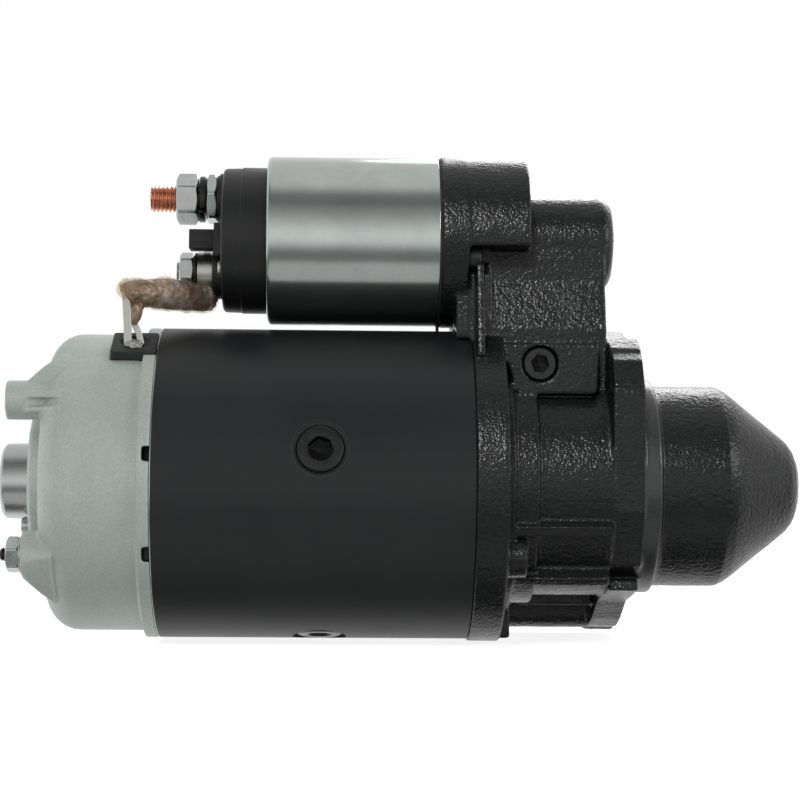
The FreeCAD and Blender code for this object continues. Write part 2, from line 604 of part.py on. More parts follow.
def solenoid_case():
    corner = 2.3
    profile = [(SOL_X0, 27.7)]
    profile += arc(SOL_X0 + corner, SOL_R - corner, corner, 180, 90, 5)
    profile += [(SOL_X1, SOL_R), (SOL_X1, 28.0), (SOL_X0 + 1.0, 28.0), (SOL_X0 + 1.0, 27.7)]
    return lathe(profile, 0, SOL_Z)


def solenoid_base_plate():
    plate = tube(BASE_X0, SOL_X1, 27.95, 12.65, 0, SOL_Z)
    return cut(plate, [cyl_x(-78, -71, 3.0, y, z) for y, z in SOL_SCREWS])


def solenoid_bobbin():
    # sleeve and two end flanges: (x0, x1, outer radius)
    sections = [(-131.0, -76.6, 14.2), (-131.9, -130.4, 27.5), (-78.6, -76.6, 27.5)]
    return fuse([tube(x0, x1, outer, SPOOL_BORE, 0, SOL_Z) for x0, x1, outer in sections])


def solenoid_core():
    core = stepped([(-135.9, -132.0, 27.5), (-135.9, -117.0, 12.7)], SOL_Z)
    return core.cut(cyl_x(-137, -116, 2.6, 0, SOL_Z))


def solenoid_seal_ring():
    ring = tube(SOL_X1, SEAT_X0, 31.4, 14.5, 0, SOL_Z)
    return cut(ring, [cyl_x(-75, -70, 3.4, y, z) for y, z in SOL_SCREWS])


def solenoid_screw(y, z):
    screw = fuse([cyl_x(SEAT_X1, SEAT_X1 + 4.5, 5.0, y, z),
                  cyl_x(BASE_X0, SEAT_X1 + 0.1, 2.98, y, z)])
    socket = hexagon(5.0 / math.sqrt(3.0), (y, z))
    return screw.cut(prism_x(socket, SEAT_X1 + 2.0, SEAT_X1 + 5.5))


save("solenoid_case", solenoid_case())
save("solenoid_base_plate", solenoid_base_plate())
save("solenoid_bobbin", solenoid_bobbin())
save("solenoid_winding", tube(-130.3, -78.7, 27.2, 14.3, 0, SOL_Z))
save("solenoid_core", solenoid_core())
save("solenoid_seal_ring", solenoid_seal_ring())
save("solenoid_screws", *[solenoid_screw(y, z) for y, z in SOL_SCREWS])

# ----------------------------------------------------------------- switch cap and terminals
CAP_BACK = -153.5
CAP_FLOOR = -148.4       # inner face of the cap's rear wall
STUD_HEAD = (-148.3, -144.6, 6.4)  # (x0, x1, radius), both studs
RIVET_Y, RIVET_Z = -14.5, 79.0
TERMINAL_NUTS = [        # (x0, x1, across flats, z, turn in degrees, bore radius)
    (-171.3, -163.1, 16.6, STUD_Z, 37.0, STUD_THREAD_R + 0.03),
    (-160.0, -155.9, 16.6, STUD_Z, 23.0, STUD_THREAD_R + 0.03),
    (-169.8, -164.6, 13.0, MOTOR_STUD_Z, 15.5, MOTOR_STUD_R + 0.02)]


def switch_cap():
    cup = lathe([(CAP_BACK, 0), (CAP_BACK, SWITCH_CAP_R - 1.2), (CAP_BACK + 1.2, SWITCH_CAP_R),
                 (-136.0, SWITCH_CAP_R), (-136.0, 22.0), (CAP_FLOOR, 22.0), (CAP_FLOOR, 0)],
                0, SOL_Z)
    # terminal block and its shroud, then the two stud bosses
    cap = fuse([cup,
                box(-156.6, -146.9, -15.5, -3.5, 83.5, 95.9),
                box(-165.7, -156.0, -14.5, -4.5, 86.3, 93.5),
                cyl_x(-155.2, -150, 9.0, 0, STUD_Z),
                cyl_x(-157.4, -150, 10.0, 0, MOTOR_STUD_Z)])
    return cut(cap, [cyl_x(-170, -146, 5.05, 0, STUD_Z),
                     cyl_x(-170, -146, MOTOR_STUD_R + 0.05, 0, MOTOR_STUD_Z),
                     box(-167, -150.0, -13.4, -5.6, 87.7, 92.1),
                     box(-156, -146, -12.75, -6.25, 89.4, 90.4),
                     cyl_x(-156, -150.5, 1.6, RIVET_Y, RIVET_Z),
                     cyl_x(CAP_FLOOR, -144.0, 6.7, 0, MOTOR_STUD_Z)])


def battery_stud():
    tip = Part.makeCone(4.2, 5.0, 0.7, Vector(-181.0, 0, STUD_Z), Vector(1, 0, 0))
    steps = [(-180.3, -171.5, 5.0), (-171.5, -144.6, STUD_THREAD_R), STUD_HEAD]
    return fuse([tip] + [cyl_x(x0, x1, radius, 0, STUD_Z) for x0, x1, radius in steps])


def terminal_nut(x0, x1, across_flats, z, turn, bore):
    return hex_nut(x0, x1, across_flats, 0, z, turn).cut(cyl_x(-175, -150, bore, 0, z))


def terminal_washers():
    """Split washer and plain washer of the battery stud, then the motor stud's washer."""
    split = tube(-163.1, -160.0, 8.6, 5.1, 0, STUD_Z)
    split = split.cut(box(-164, -159, -1.0, 1.0, STUD_Z - 10, STUD_Z))
    return [split, tube(-155.9, -155.2, 9.0, 5.1, 0, STUD_Z),
            tube(-164.6, -163.0, 7.2, 4.1, 0, MOTOR_STUD_Z)]


save("switch_cap", switch_cap())
save("battery_stud", battery_stud())
save("motor_stud", stepped([(-171.0, -144.6, MOTOR_STUD_R), STUD_HEAD], MOTOR_STUD_Z))
save("terminal_nuts", *[terminal_nut(*row) for row in TERMINAL_NUTS])
save("terminal_washers", *terminal_washers())
save("control_blade", box(-163.6, -147.2, -12.65, -6.35, 89.5, 90.3))
save("cap_rivet", fuse([cyl_x(-154.9, CAP_BACK, 3.0, RIVET_Y, RIVET_Z),
                        cyl_x(-153.6, -150.6, 1.55, RIVET_Y, RIVET_Z)]))


# ----------------------------------------------------------------- contact and plunger
def contact_bridge():
    return box(-142.4, -140.4, -7.0, 7.0, 72.5, 111.0).cut(cyl_x(-144, -139, 2.1, 0, SOL_Z))


def plunger():
    body = stepped([(-102.0, -52.0, PLUNGER_R), (-52.5, -43.5, 8.0), (-44.0, -24.0, 9.5)], SOL_Z)
    return cut(body, [box(-42.5, -23.0, -5.2, 5.2, SOL_Z - 12, SOL_Z + 12),
                      cyl_x(-103.0, -88.0, 3.2, 0, SOL_Z),
                      cyl_y(-12, 12, 2.52, PLUNGER_PIN_X, SOL_Z)])


save("contact_bridge", contact_bridge())
save("contact_rod", fuse([cyl_x(-143.9, -106.0, 2.0, 0, SOL_Z),
                          tube(-143.9, -142.4, 4.4, 1.9, 0, SOL_Z)]))
save("contact_spring", spring_x(-140.3, -136.05, mean_r=4.0, wire_r=0.5, turns=3.0, z=SOL_Z))
save("plunger", plunger())
save("plunger_pin", cyl_y(-9.4, 9.4, 2.5, PLUNGER_PIN_X, SOL_Z))
save("return_spring", spring_x(-116.9, -102.1, mean_r=8.0, wire_r=0.9, turns=4.0, z=SOL_Z))

# ================================================================= motor lead
LUG_X0, LUG_X1 = -160.8, -158.2
LUG_BORE = 4.1
LEAD_R = 5.5
LEAD_PATH = [            # (x, y, z) along the centre line
    (-158.4, 0.6, 67.2), (-163.2, -5.0, 67.2), (-169.0, -11.6, 67.7),
    (-175.0, -18.0, 68.2), (-181.0, -23.8, 68.5), (-186.4, -27.9, 68.4)]
# flat strips that leave the lead and go down through the grommet into the end cover
STRIPS = [box(-188.0, -185.1, -28.5, -27.3, 43.6, 69.0),
          box(-184.6, -182.4, -26.0, -25.0, 45.2, 68.0)]


def motor_lead_lug():
    """Lug with a washer on either side."""
    lug = fuse([cyl_x(LUG_X0, LUG_X1, 8.0, 0, MOTOR_STUD_Z),
                box(LUG_X0, LUG_X1, -5.0, 5.0, 66.5, MOTOR_STUD_Z)])
    return [lug.cut(cyl_x(-162, -157, LUG_BORE, 0, MOTOR_STUD_Z)),
            tube(-163.0, LUG_X0, 7.6, LUG_BORE, 0, MOTOR_STUD_Z),
            tube(LUG_X1, -157.4, 7.6, LUG_BORE, 0, MOTOR_STUD_Z)]


def motor_lead():
    path = [Vector(*point) for point in LEAD_PATH]
    curve = Part.BSplineCurve()
    curve.interpolate(path)
    section = Part.Wire([Part.makeCircle(LEAD_R, path[0], path[1] - path[0])])
    lead = Part.Wire([curve.toShape()]).makePipeShell([section], True, True)
    # room for the strips, washers, nut and lug
    lead = cut(lead, STRIPS + [cyl_x(-164.8, -150.0, 8.2, 0, MOTOR_STUD_Z),
                               cyl_x(-172.0, -164.6, 7.8, 0, MOTOR_STUD_Z),
                               box(-160.9, -150.0, -5.1, 5.1, 66.4, 80.0),
                               box(-158.3, -150.0, -20.0, 20.0, 50.0, 90.0)])
    # the cuts can leave slivers, so only the largest solid is kept
    return max(lead.Solids, key=lambda solid: solid.Volume)


def lead_grommet():
    grommet = fuse([box(-191.8, -175.6, -8.1, 8.1, 54.3, 57.6),
                    box(-191.6, -175.6, -8.0, 8.0, 50.5, 54.5)])
    return cut(rot_x(grommet, LEAD_TILT), STRIPS)


save("motor_lead_lug", *motor_lead_lug())
save("motor_lead", motor_lead())
save("lead_strips", *STRIPS)
save("lead_grommet", lead_grommet())
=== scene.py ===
"""Car starter motor with its solenoid, on a white studio floor.

The motor shaft lies on the X axis: the pinion and cast drive end housing at +X, the end cover
at -X. The solenoid lies parallel to the shaft above it (+Z). The camera looks from -Y.
Shapes are given in millimetres and scaled to metres; shader lengths, lights and the camera are
in metres.
"""
import json
import math

import bmesh
import bpy
import numpy as np
from mathutils import Matrix, Quaternion, Vector, noise

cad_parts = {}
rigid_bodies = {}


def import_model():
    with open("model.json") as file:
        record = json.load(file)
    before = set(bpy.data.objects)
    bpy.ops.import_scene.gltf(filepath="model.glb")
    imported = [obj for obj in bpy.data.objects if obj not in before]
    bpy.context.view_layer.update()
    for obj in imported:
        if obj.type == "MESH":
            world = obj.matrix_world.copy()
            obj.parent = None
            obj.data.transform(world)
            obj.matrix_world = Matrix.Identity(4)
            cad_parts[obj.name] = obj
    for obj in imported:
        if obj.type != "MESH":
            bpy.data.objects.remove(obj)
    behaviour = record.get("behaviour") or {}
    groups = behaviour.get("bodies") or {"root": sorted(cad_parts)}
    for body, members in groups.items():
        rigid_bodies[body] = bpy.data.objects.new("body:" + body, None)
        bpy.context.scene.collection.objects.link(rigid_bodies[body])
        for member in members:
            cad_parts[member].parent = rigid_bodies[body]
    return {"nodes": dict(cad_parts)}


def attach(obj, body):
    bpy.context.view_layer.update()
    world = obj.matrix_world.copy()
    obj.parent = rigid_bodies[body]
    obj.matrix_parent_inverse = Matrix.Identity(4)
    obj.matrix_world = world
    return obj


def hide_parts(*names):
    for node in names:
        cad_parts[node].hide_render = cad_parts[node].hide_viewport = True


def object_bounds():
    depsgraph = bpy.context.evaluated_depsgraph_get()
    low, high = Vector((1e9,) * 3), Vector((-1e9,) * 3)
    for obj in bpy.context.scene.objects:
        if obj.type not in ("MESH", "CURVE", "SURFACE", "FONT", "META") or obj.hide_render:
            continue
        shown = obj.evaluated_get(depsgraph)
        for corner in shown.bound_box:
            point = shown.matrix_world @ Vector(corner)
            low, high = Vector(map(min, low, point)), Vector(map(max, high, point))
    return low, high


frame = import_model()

CAD_LO, CAD_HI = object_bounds()
MM = 0.001
COLLECTION = bpy.context.scene.collection

# Places shared by several pieces (mm, degrees)
SOLENOID_Z = 91.0
BATTERY_STUD_Z = 106.5
MOTOR_STUD_Z = 79.0
POLE_SCREW_X = -116.2
POLE_SCREW_ANGLES = [-(12.4 + 90 * k) for k in range(4)]
CAP_SCREWS = [(side * 8.4, side * 16.5) for side in (-1, 1)]      # (y, z)
BOLT_CIRCLE_RADIUS = 46.4
BOLT_ANGLE = math.radians(-34.0)
THROUGH_BOLTS = [(-side * BOLT_CIRCLE_RADIUS * math.cos(BOLT_ANGLE),
                  side * BOLT_CIRCLE_RADIUS * math.sin(BOLT_ANGLE)) for side in (1, -1)]
LEVER_PIVOT = (-37.0, 44.0)                                       # (x, z)
GROMMET_TILT = 29.0                                               # about X


# =====================================================================================
# Shader node helpers
# =====================================================================================
def rgba(color):
    """Colour with alpha, from a grey level, an RGB or an RGBA tuple."""
    if isinstance(color, (int, float)):
        color = (color,) * 3
    return color + (1,) if len(color) == 3 else color


def shade(color, factor):
    return tuple(channel * factor for channel in color)


class Nodes:
    """Node tree of a material or world, with a short call for each kind of node."""

    def __init__(self, owner):
        owner.use_nodes = True
        self.owner = owner
        self.tree = owner.node_tree
        self.tree.nodes.clear()

    def add(self, kind, **settings):
        node = self.tree.nodes.new("ShaderNode" + kind)
        for key, value in settings.items():
            setattr(node, key, value)
        return node

    def feed(self, socket, value):
        """Links an output to the socket, or sets a number or colour on it."""
        if isinstance(value, (int, float)):
            socket.default_value = value
        elif isinstance(value, tuple):
            socket.default_value = rgba(value)
        else:
            self.tree.links.new(value, socket)

    def math(self, operation, *values, clamp=False):
        node = self.add("Math", operation=operation, use_clamp=clamp)
        for socket, value in zip(node.inputs, values):
            self.feed(socket, value)
        return node.outputs[0]

    def remap(self, value, to, within=(0.3, 0.7)):
        node = self.add("MapRange")
        self.feed(node.inputs["Value"], value)
        node.inputs["From Min"].default_value, node.inputs["From Max"].default_value = within
        node.inputs["To Min"].default_value, node.inputs["To Max"].default_value = to
        return node.outputs["Result"]

    def ramp(self, factor, *stops):
        """Colour ramp through (position, colour or grey) stops."""
        node = self.add("ValToRGB")
        elements = node.color_ramp.elements
        while len(elements) > 1:
            elements.remove(elements[-1])
        elements[0].position = stops[0][0]
        elements[0].color = rgba(stops[0][1])
        for position, color in stops[1:]:
            elements.new(position).color = rgba(color)
        self.feed(node.inputs["Fac"], factor)
        return node.outputs["Color"]

    def mix(self, factor, first, second):
        node = self.add("Mix", data_type="RGBA")
        for index, value in ((0, factor), (6, first), (7, second)):   # the RGBA sockets
            self.feed(node.inputs[index], value)
        return node.outputs[2]

    def mix_shaders(self, factor, first, second):
        node = self.add("MixShader")
        for socket, value in zip(node.inputs, (factor, first, second)):
            self.feed(socket, value)
        return node.outputs[0]


class Material(Nodes):
    """Material textured in object coordinates (metres)."""

    def __init__(self, name):
        super().__init__(bpy.data.materials.new(name))
        self.coords = self.add("TexCoord").outputs["Object"]

    def noise(self, scale=1.0, detail=4.0, rough=0.6, distortion=0.0, stretch=None):
        vector = self.coords
        if stretch:
            multiply = self.add("VectorMath", operation="MULTIPLY")
            self.feed(multiply.inputs[0], vector)
            multiply.inputs[1].default_value = stretch
            vector = multiply.outputs[0]
        node = self.add("TexNoise")
        self.feed(node.inputs["Vector"], vector)
        self.feed(node.inputs["Scale"], scale)
        self.feed(node.inputs["Detail"], detail)
        self.feed(node.inputs["Roughness"], rough)
        self.feed(node.inputs["Distortion"], distortion)
        return node.outputs["Fac"]

    def streaks(self, along, across, detail=3.0, rough=0.6):
        """Fine lines round the X axis, as turning or drawing leaves."""
        return self.noise(detail=detail, rough=rough, stretch=(along, across, across))

    def voronoi(self, scale):
        node = self.add("TexVoronoi", feature="F1")
        self.feed(node.inputs["Vector"], self.coords)
        self.feed(node.inputs["Scale"], scale)
        return node.outputs["Distance"]

    def bumps(self, *layers):
        """Chained bumps, each (height, strength, distance)."""
        normal = None
        for height, strength, distance in layers:
            node = self.add("Bump")
            self.feed(node.inputs["Strength"], strength)
            self.feed(node.inputs["Distance"], distance)
            self.feed(node.inputs["Height"], height)
            if normal is not None:
                self.feed(node.inputs["Normal"], normal)
            normal = node.outputs["Normal"]
        return normal

    def roughness(self, broad, grain):
        """Sum of two variations, each (noise, low, high)."""
        return self.math("ADD", self.remap(broad[0], to=broad[1:]),
                         self.remap(grain[0], to=grain[1:]))

    def worn_edges(self, base, color, radius, within, amount):
        """Mixes color into base along edges, found where a bevelled normal leaves the true one."""
        rounded = self.add("Bevel", samples=4)
        rounded.inputs["Radius"].default_value = radius
        geometry = self.add("NewGeometry")
        dot = self.add("VectorMath", operation="DOT_PRODUCT")
        self.feed(dot.inputs[0], rounded.outputs[0])
        self.feed(dot.inputs[1], geometry.outputs["Normal"])
        edge = self.math("SUBTRACT", 1.0, dot.outputs["Value"], clamp=True)
        return self.mix(self.remap(edge, to=(0.0, amount), within=within), base, color)

    def surface(self, base, rough, normal=None, metal=0.0, specular=0.5, coat=0.0,
                coat_rough=0.1):
        """Principled surface joined to the output. Returns the finished material."""
        self.shader = self.add("BsdfPrincipled")
        self.output = self.add("OutputMaterial")
        self.feed(self.output.inputs[0], self.shader.outputs[0])
        values = {"Base Color": base, "Roughness": rough, "Metallic": metal,
                  "Specular IOR Level": specular, "Coat Weight": coat,
                  "Coat Roughness": coat_rough}
        if normal is not None:
            values["Normal"] = normal
        for socket, value in values.items():
            self.feed(self.shader.inputs[socket], value)
        return self.owner


# =====================================================================================
# Materials
# =====================================================================================
def make_cast_black():
    """Glossy black paint over a pebbled casting."""
    m = Material("cast_black_paint")
    broad = m.noise(scale=55, detail=3, rough=0.55)
    mottle = m.noise(scale=720)
    pebble = m.voronoi(scale=1020)
    grain = m.noise(scale=3000, detail=3)
    base = m.ramp(mottle, (0.3, (0.0045, 0.005, 0.005)), (0.62, (0.009, 0.0098, 0.0096)),
                  (0.85, (0.02, 0.0215, 0.021)))
    rough = m.roughness((broad, 0.19, 0.27), (grain, -0.04, 0.06))
    height = m.math("ADD", m.math("MULTIPLY", mottle, 0.6), m.math("MULTIPLY", pebble, 0.5))
    normal = m.bumps((height, 0.66, 0.00036), (grain, 0.30, 0.00007))
    return m.surface(base, rough, normal, specular=0.30, coat=0.05, coat_rough=0.14)


def make_pilot_black():
    """Thin black paint over turned faces."""
    m = Material("machined_pilot_painted")
    turning = m.streaks(along=5200, across=90)
    mottle = m.noise(scale=900, rough=0.5)
    base = m.ramp(mottle, (0.3, (0.012, 0.013, 0.0125)), (0.8, (0.024, 0.026, 0.025)))
    rough = m.remap(turning, to=(0.26, 0.42))
    normal = m.bumps((turning, 0.18, 0.00005), (mottle, 0.12, 0.00015))
    return m.surface(base, rough, normal, coat=0.3, coat_rough=0.2)


def make_satin_black():
    """Satin paint with faint orange peel, hairline scuffs and worn edges."""
    m = Material("satin_black_paint")
    broad = m.noise(scale=28, rough=0.55)
    peel = m.noise(scale=420, detail=3, rough=0.5)
    grain = m.noise(scale=3600, detail=3)
    turning = m.streaks(along=2600, across=30)
    base = m.ramp(broad, (0.3, (0.0115, 0.0125, 0.0135)), (0.75, (0.0145, 0.016, 0.0165)))
    rough = m.roughness((broad, 0.40, 0.47), (grain, -0.05, 0.06))
    scratches = m.noise(detail=2, rough=0.5, stretch=(26, 60, 900))
    scuff = m.remap(scratches, to=(0.0, 1.0), within=(0.74, 0.80))
    base = m.mix(m.math("MULTIPLY", scuff, 0.35), base, (0.05, 0.054, 0.055))
    base = m.worn_edges(base, (0.11, 0.118, 0.115), radius=0.0006, within=(0.05, 0.35),
                        amount=0.55)
    normal = m.bumps((peel, 0.10, 0.00012), (grain, 0.16, 0.00005), (turning, 0.06, 0.00004))
    return m.surface(base, rough, normal, specular=0.42)


def make_cast_alloy():
    """Bare light alloy with cast grain, stains and brighter edges."""
    m = Material("cast_light_alloy")
    dark = (0.50, 0.55, 0.52)
    broad = m.noise(scale=34)
    grain = m.noise(scale=1500, rough=0.65)
    speck = m.voronoi(scale=1900)
    fine = m.noise(scale=5200, detail=2)
    base = m.ramp(grain, (0.28, dark), (0.72, (0.66, 0.715, 0.68)))
    stain = m.remap(broad, to=(0.0, 0.22), within=(0.42, 0.75))
    base = m.mix(stain, base, shade(dark, 0.55))
    base = m.worn_edges(base, (0.78, 0.81, 0.79), radius=0.0007, within=(0.04, 0.3), amount=0.6)
    rough = m.roughness((broad, 0.54, 0.64), (fine, -0.07, 0.07))
    height = m.math("ADD", grain, m.math("MULTIPLY", speck, 0.4))
    normal = m.bumps((height, 0.35, 0.00012), (fine, 0.25, 0.00004))
    return m.surface(base, rough, normal, metal=0.66)


def make_bright(name, color, rough_range, streak, speck):
    """Bright zinc plate over drawn or turned steel; streak and speck are bump strengths."""
    m = Material(name)
    lines = m.streaks(along=4200, across=60, detail=4, rough=0.65)
    broad_lines = m.streaks(along=756, across=30)
    grain = m.noise(scale=3300, detail=3, rough=0.7)
    blotch = m.noise(scale=70)
    base = m.ramp(blotch, (0.3, shade(color, 0.86)), (0.7, color))
    base = m.mix(m.remap(grain, to=(0.0, 0.18), within=(0.35, 0.75)), base, shade(color, 0.6))
    rough = m.roughness((lines, *rough_range), (grain, -0.05, 0.07))
    normal = m.bumps((lines, streak, 0.00005), (broad_lines, streak * 0.5, 0.00010),
                     (grain, speck, 0.00003))
    return m.surface(base, rough, normal, metal=1.0)


def make_fastener(name, color, metal, rough_range, wear_color, wear):
    """Blotchy plated or painted hardware with worn edges."""
    m = Material(name)
    blotch = m.noise(scale=260)
    grain = m.noise(scale=2600, detail=3, rough=0.65)
    base = m.ramp(blotch, (0.3, shade(color, 0.78)), (0.72, color))
    base = m.worn_edges(base, wear_color, radius=0.0004, within=(0.05, 0.4), amount=wear)
    rough = m.roughness((blotch, *rough_range), (grain, -0.05, 0.06))
    normal = m.bumps((grain, 0.22, 0.00005), (blotch, 0.12, 0.0002))
    return m.surface(base, rough, normal, metal=metal)


def make_moulding():
    m = Material("black_moulding")
    broad = m.noise(scale=60)
    grain = m.noise(scale=1800)
    base = m.ramp(grain, (0.3, (0.0085, 0.009, 0.009)), (0.75, (0.0145, 0.0155, 0.015)))
    base = m.worn_edges(base, (0.06, 0.063, 0.062), radius=0.0005, within=(0.05, 0.4),
                        amount=0.5)
    rough = m.roughness((broad, 0.34, 0.46), (grain, -0.05, 0.07))
    normal = m.bumps((grain, 0.14, 0.00008), (broad, 0.1, 0.0004))
    return m.surface(base, rough, normal, specular=0.45)


def make_rubber():
    m = Material("black_rubber")
    broad = m.noise(scale=300)
    grain = m.noise(scale=2500, rough=0.65)
    base = m.ramp(broad, (0.3, (0.017, 0.019, 0.0185)), (0.75, (0.038, 0.041, 0.040)))
    rough = m.remap(grain, to=(0.52, 0.74))
    normal = m.bumps((grain, 0.3, 0.00008), (broad, 0.2, 0.0003))
    return m.surface(base, rough, normal, specular=0.4)


def make_copper():
    m = Material("copper_bright")
    color = (0.80, 0.36, 0.22)
    blotch = m.noise(scale=240)
    grain = m.noise(scale=3000, detail=3)
    base = m.ramp(blotch, (0.3, shade(color, 0.62)), (0.55, color), (0.8, (0.92, 0.55, 0.38)))
    rough = m.roughness((blotch, 0.22, 0.36), (grain, -0.04, 0.05))
    return m.surface(base, rough, m.bumps((grain, 0.10, 0.00004)), metal=1.0)


def make_braid():
    m = Material("copper_braid")
    blotch = m.noise(scale=190, distortion=0.6)
    grain = m.noise(scale=2200, detail=3, rough=0.65)
    base = m.ramp(blotch, (0.25, (0.14, 0.095, 0.055)), (0.45, (0.30, 0.22, 0.145)),
                  (0.6, (0.46, 0.30, 0.21)), (0.78, (0.55, 0.48, 0.38)))
    rough = m.remap(grain, to=(0.35, 0.55))
    return m.surface(base, rough, m.bumps((grain, 0.4, 0.0001)), metal=0.75)


def make_sleeve():
    """Varnished clear sleeve over the braid: cloudy, glossy and partly see-through."""
    m = Material("varnished_sleeve")
    blotch = m.noise(scale=120, detail=3, rough=0.5, distortion=0.4)
    ribs = m.noise(detail=3, distortion=0.8, stretch=(900, 500, 500))
    base = m.ramp(blotch, (0.3, (0.40, 0.33, 0.25)), (0.5, (0.56, 0.51, 0.42)),
                  (0.7, (0.76, 0.74, 0.68)))
    material = m.surface(base, 0.16, m.bumps((ribs, 0.5, 0.0006)), coat=0.7, coat_rough=0.06)
    opacity = m.ramp(blotch, (0.30, 0.14), (0.50, 0.26), (0.72, 0.52))
    clear = m.add("BsdfTransparent")
    m.feed(clear.inputs[0], (0.97, 0.93, 0.86))
    mixed = m.mix_shaders(opacity, clear.outputs[0], m.shader.outputs[0])
    m.feed(m.output.inputs[0], mixed)
    return material


def make_plain_metal(name, color, rough_range, metal=1.0):
    m = Material(name)
    turning = m.streaks(along=3000, across=120)
    blotch = m.noise(scale=120)
    grain = m.noise(scale=2600, detail=3)
    base = m.ramp(blotch, (0.3, shade(color, 0.75)), (0.75, color))
    rough = m.roughness((turning, *rough_range), (grain, -0.04, 0.05))
    normal = m.bumps((turning, 0.15, 0.00006), (grain, 0.2, 0.00004))
    return m.surface(base, rough, normal, metal=metal)


def make_wire():
    """Enamelled winding wire, shown as bands along X."""
    m = Material("enamelled_wire")
    bands = m.add("TexWave", wave_type="BANDS", bands_direction="X")
    m.feed(bands.inputs["Vector"], m.coords)
    m.feed(bands.inputs["Scale"], 420.0)
    m.feed(bands.inputs["Distortion"], 1.0)
    base = m.ramp(m.noise(scale=160), (0.3, (0.17, 0.05, 0.02)), (0.75, (0.36, 0.13, 0.055)))
    normal = m.bumps((bands.outputs["Fac"], 0.6, 0.0003))
    return m.surface(base, 0.35, normal, metal=0.5, coat=0.4, coat_rough=0.12)


MAT = {
    "cast_black": make_cast_black(),
    "pilot": make_pilot_black(),
    "satin_black": make_satin_black(),
    "cast_alloy": make_cast_alloy(),
    "zinc_case": make_bright("zinc_case", (0.60, 0.645, 0.62), rough_range=(0.13, 0.19),
                             streak=0.03, speck=0.14),
    "drawn_steel": make_bright("drawn_steel", (0.60, 0.63, 0.615), rough_range=(0.16, 0.28),
                               streak=0.10, speck=0.2),
    "zinc_nut": make_fastener("zinc_nut", (0.62, 0.655, 0.64), metal=1.0,
                              rough_range=(0.24, 0.34), wear_color=(0.82, 0.84, 0.83), wear=0.6),
    "tinned": make_fastener("tinned", (0.66, 0.66, 0.63), metal=1.0,
                            rough_range=(0.26, 0.40), wear_color=(0.82, 0.82, 0.80), wear=0.4),
    "black_steel": make_fastener("black_steel", (0.030, 0.031, 0.031), metal=0.55,
                                 rough_range=(0.24, 0.36), wear_color=(0.16, 0.165, 0.16),
                                 wear=0.5),
    "black_paint_bolt": make_fastener("black_paint_bolt", (0.014, 0.015, 0.015), metal=0.0,
                                      rough_range=(0.26, 0.38),
                                      wear_color=(0.07, 0.075, 0.072), wear=0.55),
    "moulding": make_moulding(),
    "rubber": make_rubber(),
    "copper": make_copper(),
    "braid": make_braid(),
    "sleeve": make_sleeve(),
    "machined": make_plain_metal("machined_steel", (0.42, 0.43, 0.425), (0.26, 0.42)),
    "dark_steel": make_plain_metal("dark_steel", (0.16, 0.16, 0.16), (0.38, 0.52)),
    "spring": make_plain_metal("spring_wire", (0.36, 0.36, 0.37), (0.25, 0.38)),
    "bronze": make_plain_metal("sintered_bronze", (0.50, 0.31, 0.14), (0.40, 0.55)),
    "carbon": make_plain_metal("copper_graphite", (0.085, 0.065, 0.055), (0.45, 0.6), metal=0.6),
    "wire": make_wire(),
}


# =====================================================================================
# Mesh helpers (all sizes in mm)
# =====================================================================================
def mesh_object(name, verts, faces, material, smooth=True, outward=True):
    """Object from vertices in mm; outward makes the face normals consistent."""
    mesh = bpy.data.meshes.new(name)
    mesh.from_pydata([tuple(c * MM for c in v) for v in verts], [], faces)
    mesh.validate()
    obj = bpy.data.objects.new(name, mesh)
    COLLECTION.objects.link(obj)
    mesh.materials.append(material)
    if smooth:
        mesh.polygons.foreach_set("use_smooth", [True] * len(mesh.polygons))
    mesh.update()
    if outward:
        bm = bmesh.new()
        bm.from_mesh(mesh)
        bmesh.ops.recalc_face_normals(bm, faces=bm.faces)
        bm.to_mesh(mesh)
        bm.free()
    return obj


def object_from_bmesh(name, mesh_name, bm, material, smooth):
    mesh = bpy.data.meshes.new(mesh_name)
    bm.to_mesh(mesh)
    bm.free()
    if smooth:
        mesh.polygons.foreach_set("use_smooth", [True] * len(mesh.polygons))
    mesh.materials.append(material)
    obj = bpy.data.objects.new(name, mesh)
    COLLECTION.objects.link(obj)
    return obj


def skin(rings, around, closed=False):
    """Quads between successive rings of vertices; closed joins the last ring to the first."""
    faces = []
    for i in range(rings if closed else rings - 1):
        a = i * around
        b = (i + 1) % rings * around
        for k in range(around):
            k2 = (k + 1) % around
            faces.append((a + k, a + k2, b + k2, b + k))
    return faces


def join(name, objs):
    """One object out of several, keeping their materials."""
    materials, verts, faces, indices, smooth = [], [], [], [], []
    for obj in objs:
        mesh = obj.data
        base = len(verts)
        verts += [tuple(v.co) for v in mesh.vertices]
        for poly in mesh.polygons:
            faces.append([base + i for i in poly.vertices])
            material = mesh.materials[poly.material_index]
            if material not in materials:
                materials.append(material)
            indices.append(materials.index(material))
            smooth.append(poly.use_smooth)
    mesh = bpy.data.meshes.new(name)
    mesh.from_pydata(verts, [], faces)
    for material in materials:
        mesh.materials.append(material)
    mesh.polygons.foreach_set("material_index", indices)
    mesh.polygons.foreach_set("use_smooth", smooth)
    mesh.update()
    joined = bpy.data.objects.new(name, mesh)
    COLLECTION.objects.link(joined)
    for obj in objs:
        bpy.data.objects.remove(obj, do_unlink=True)
    return joined


def apply_modifiers(obj):
    graph = bpy.context.evaluated_depsgraph_get()
    mesh = bpy.data.meshes.new_from_object(obj.evaluated_get(graph), depsgraph=graph)
    old = obj.data
    obj.modifiers.clear()
    obj.data = mesh
    if old.users == 0:
        bpy.data.meshes.remove(old)


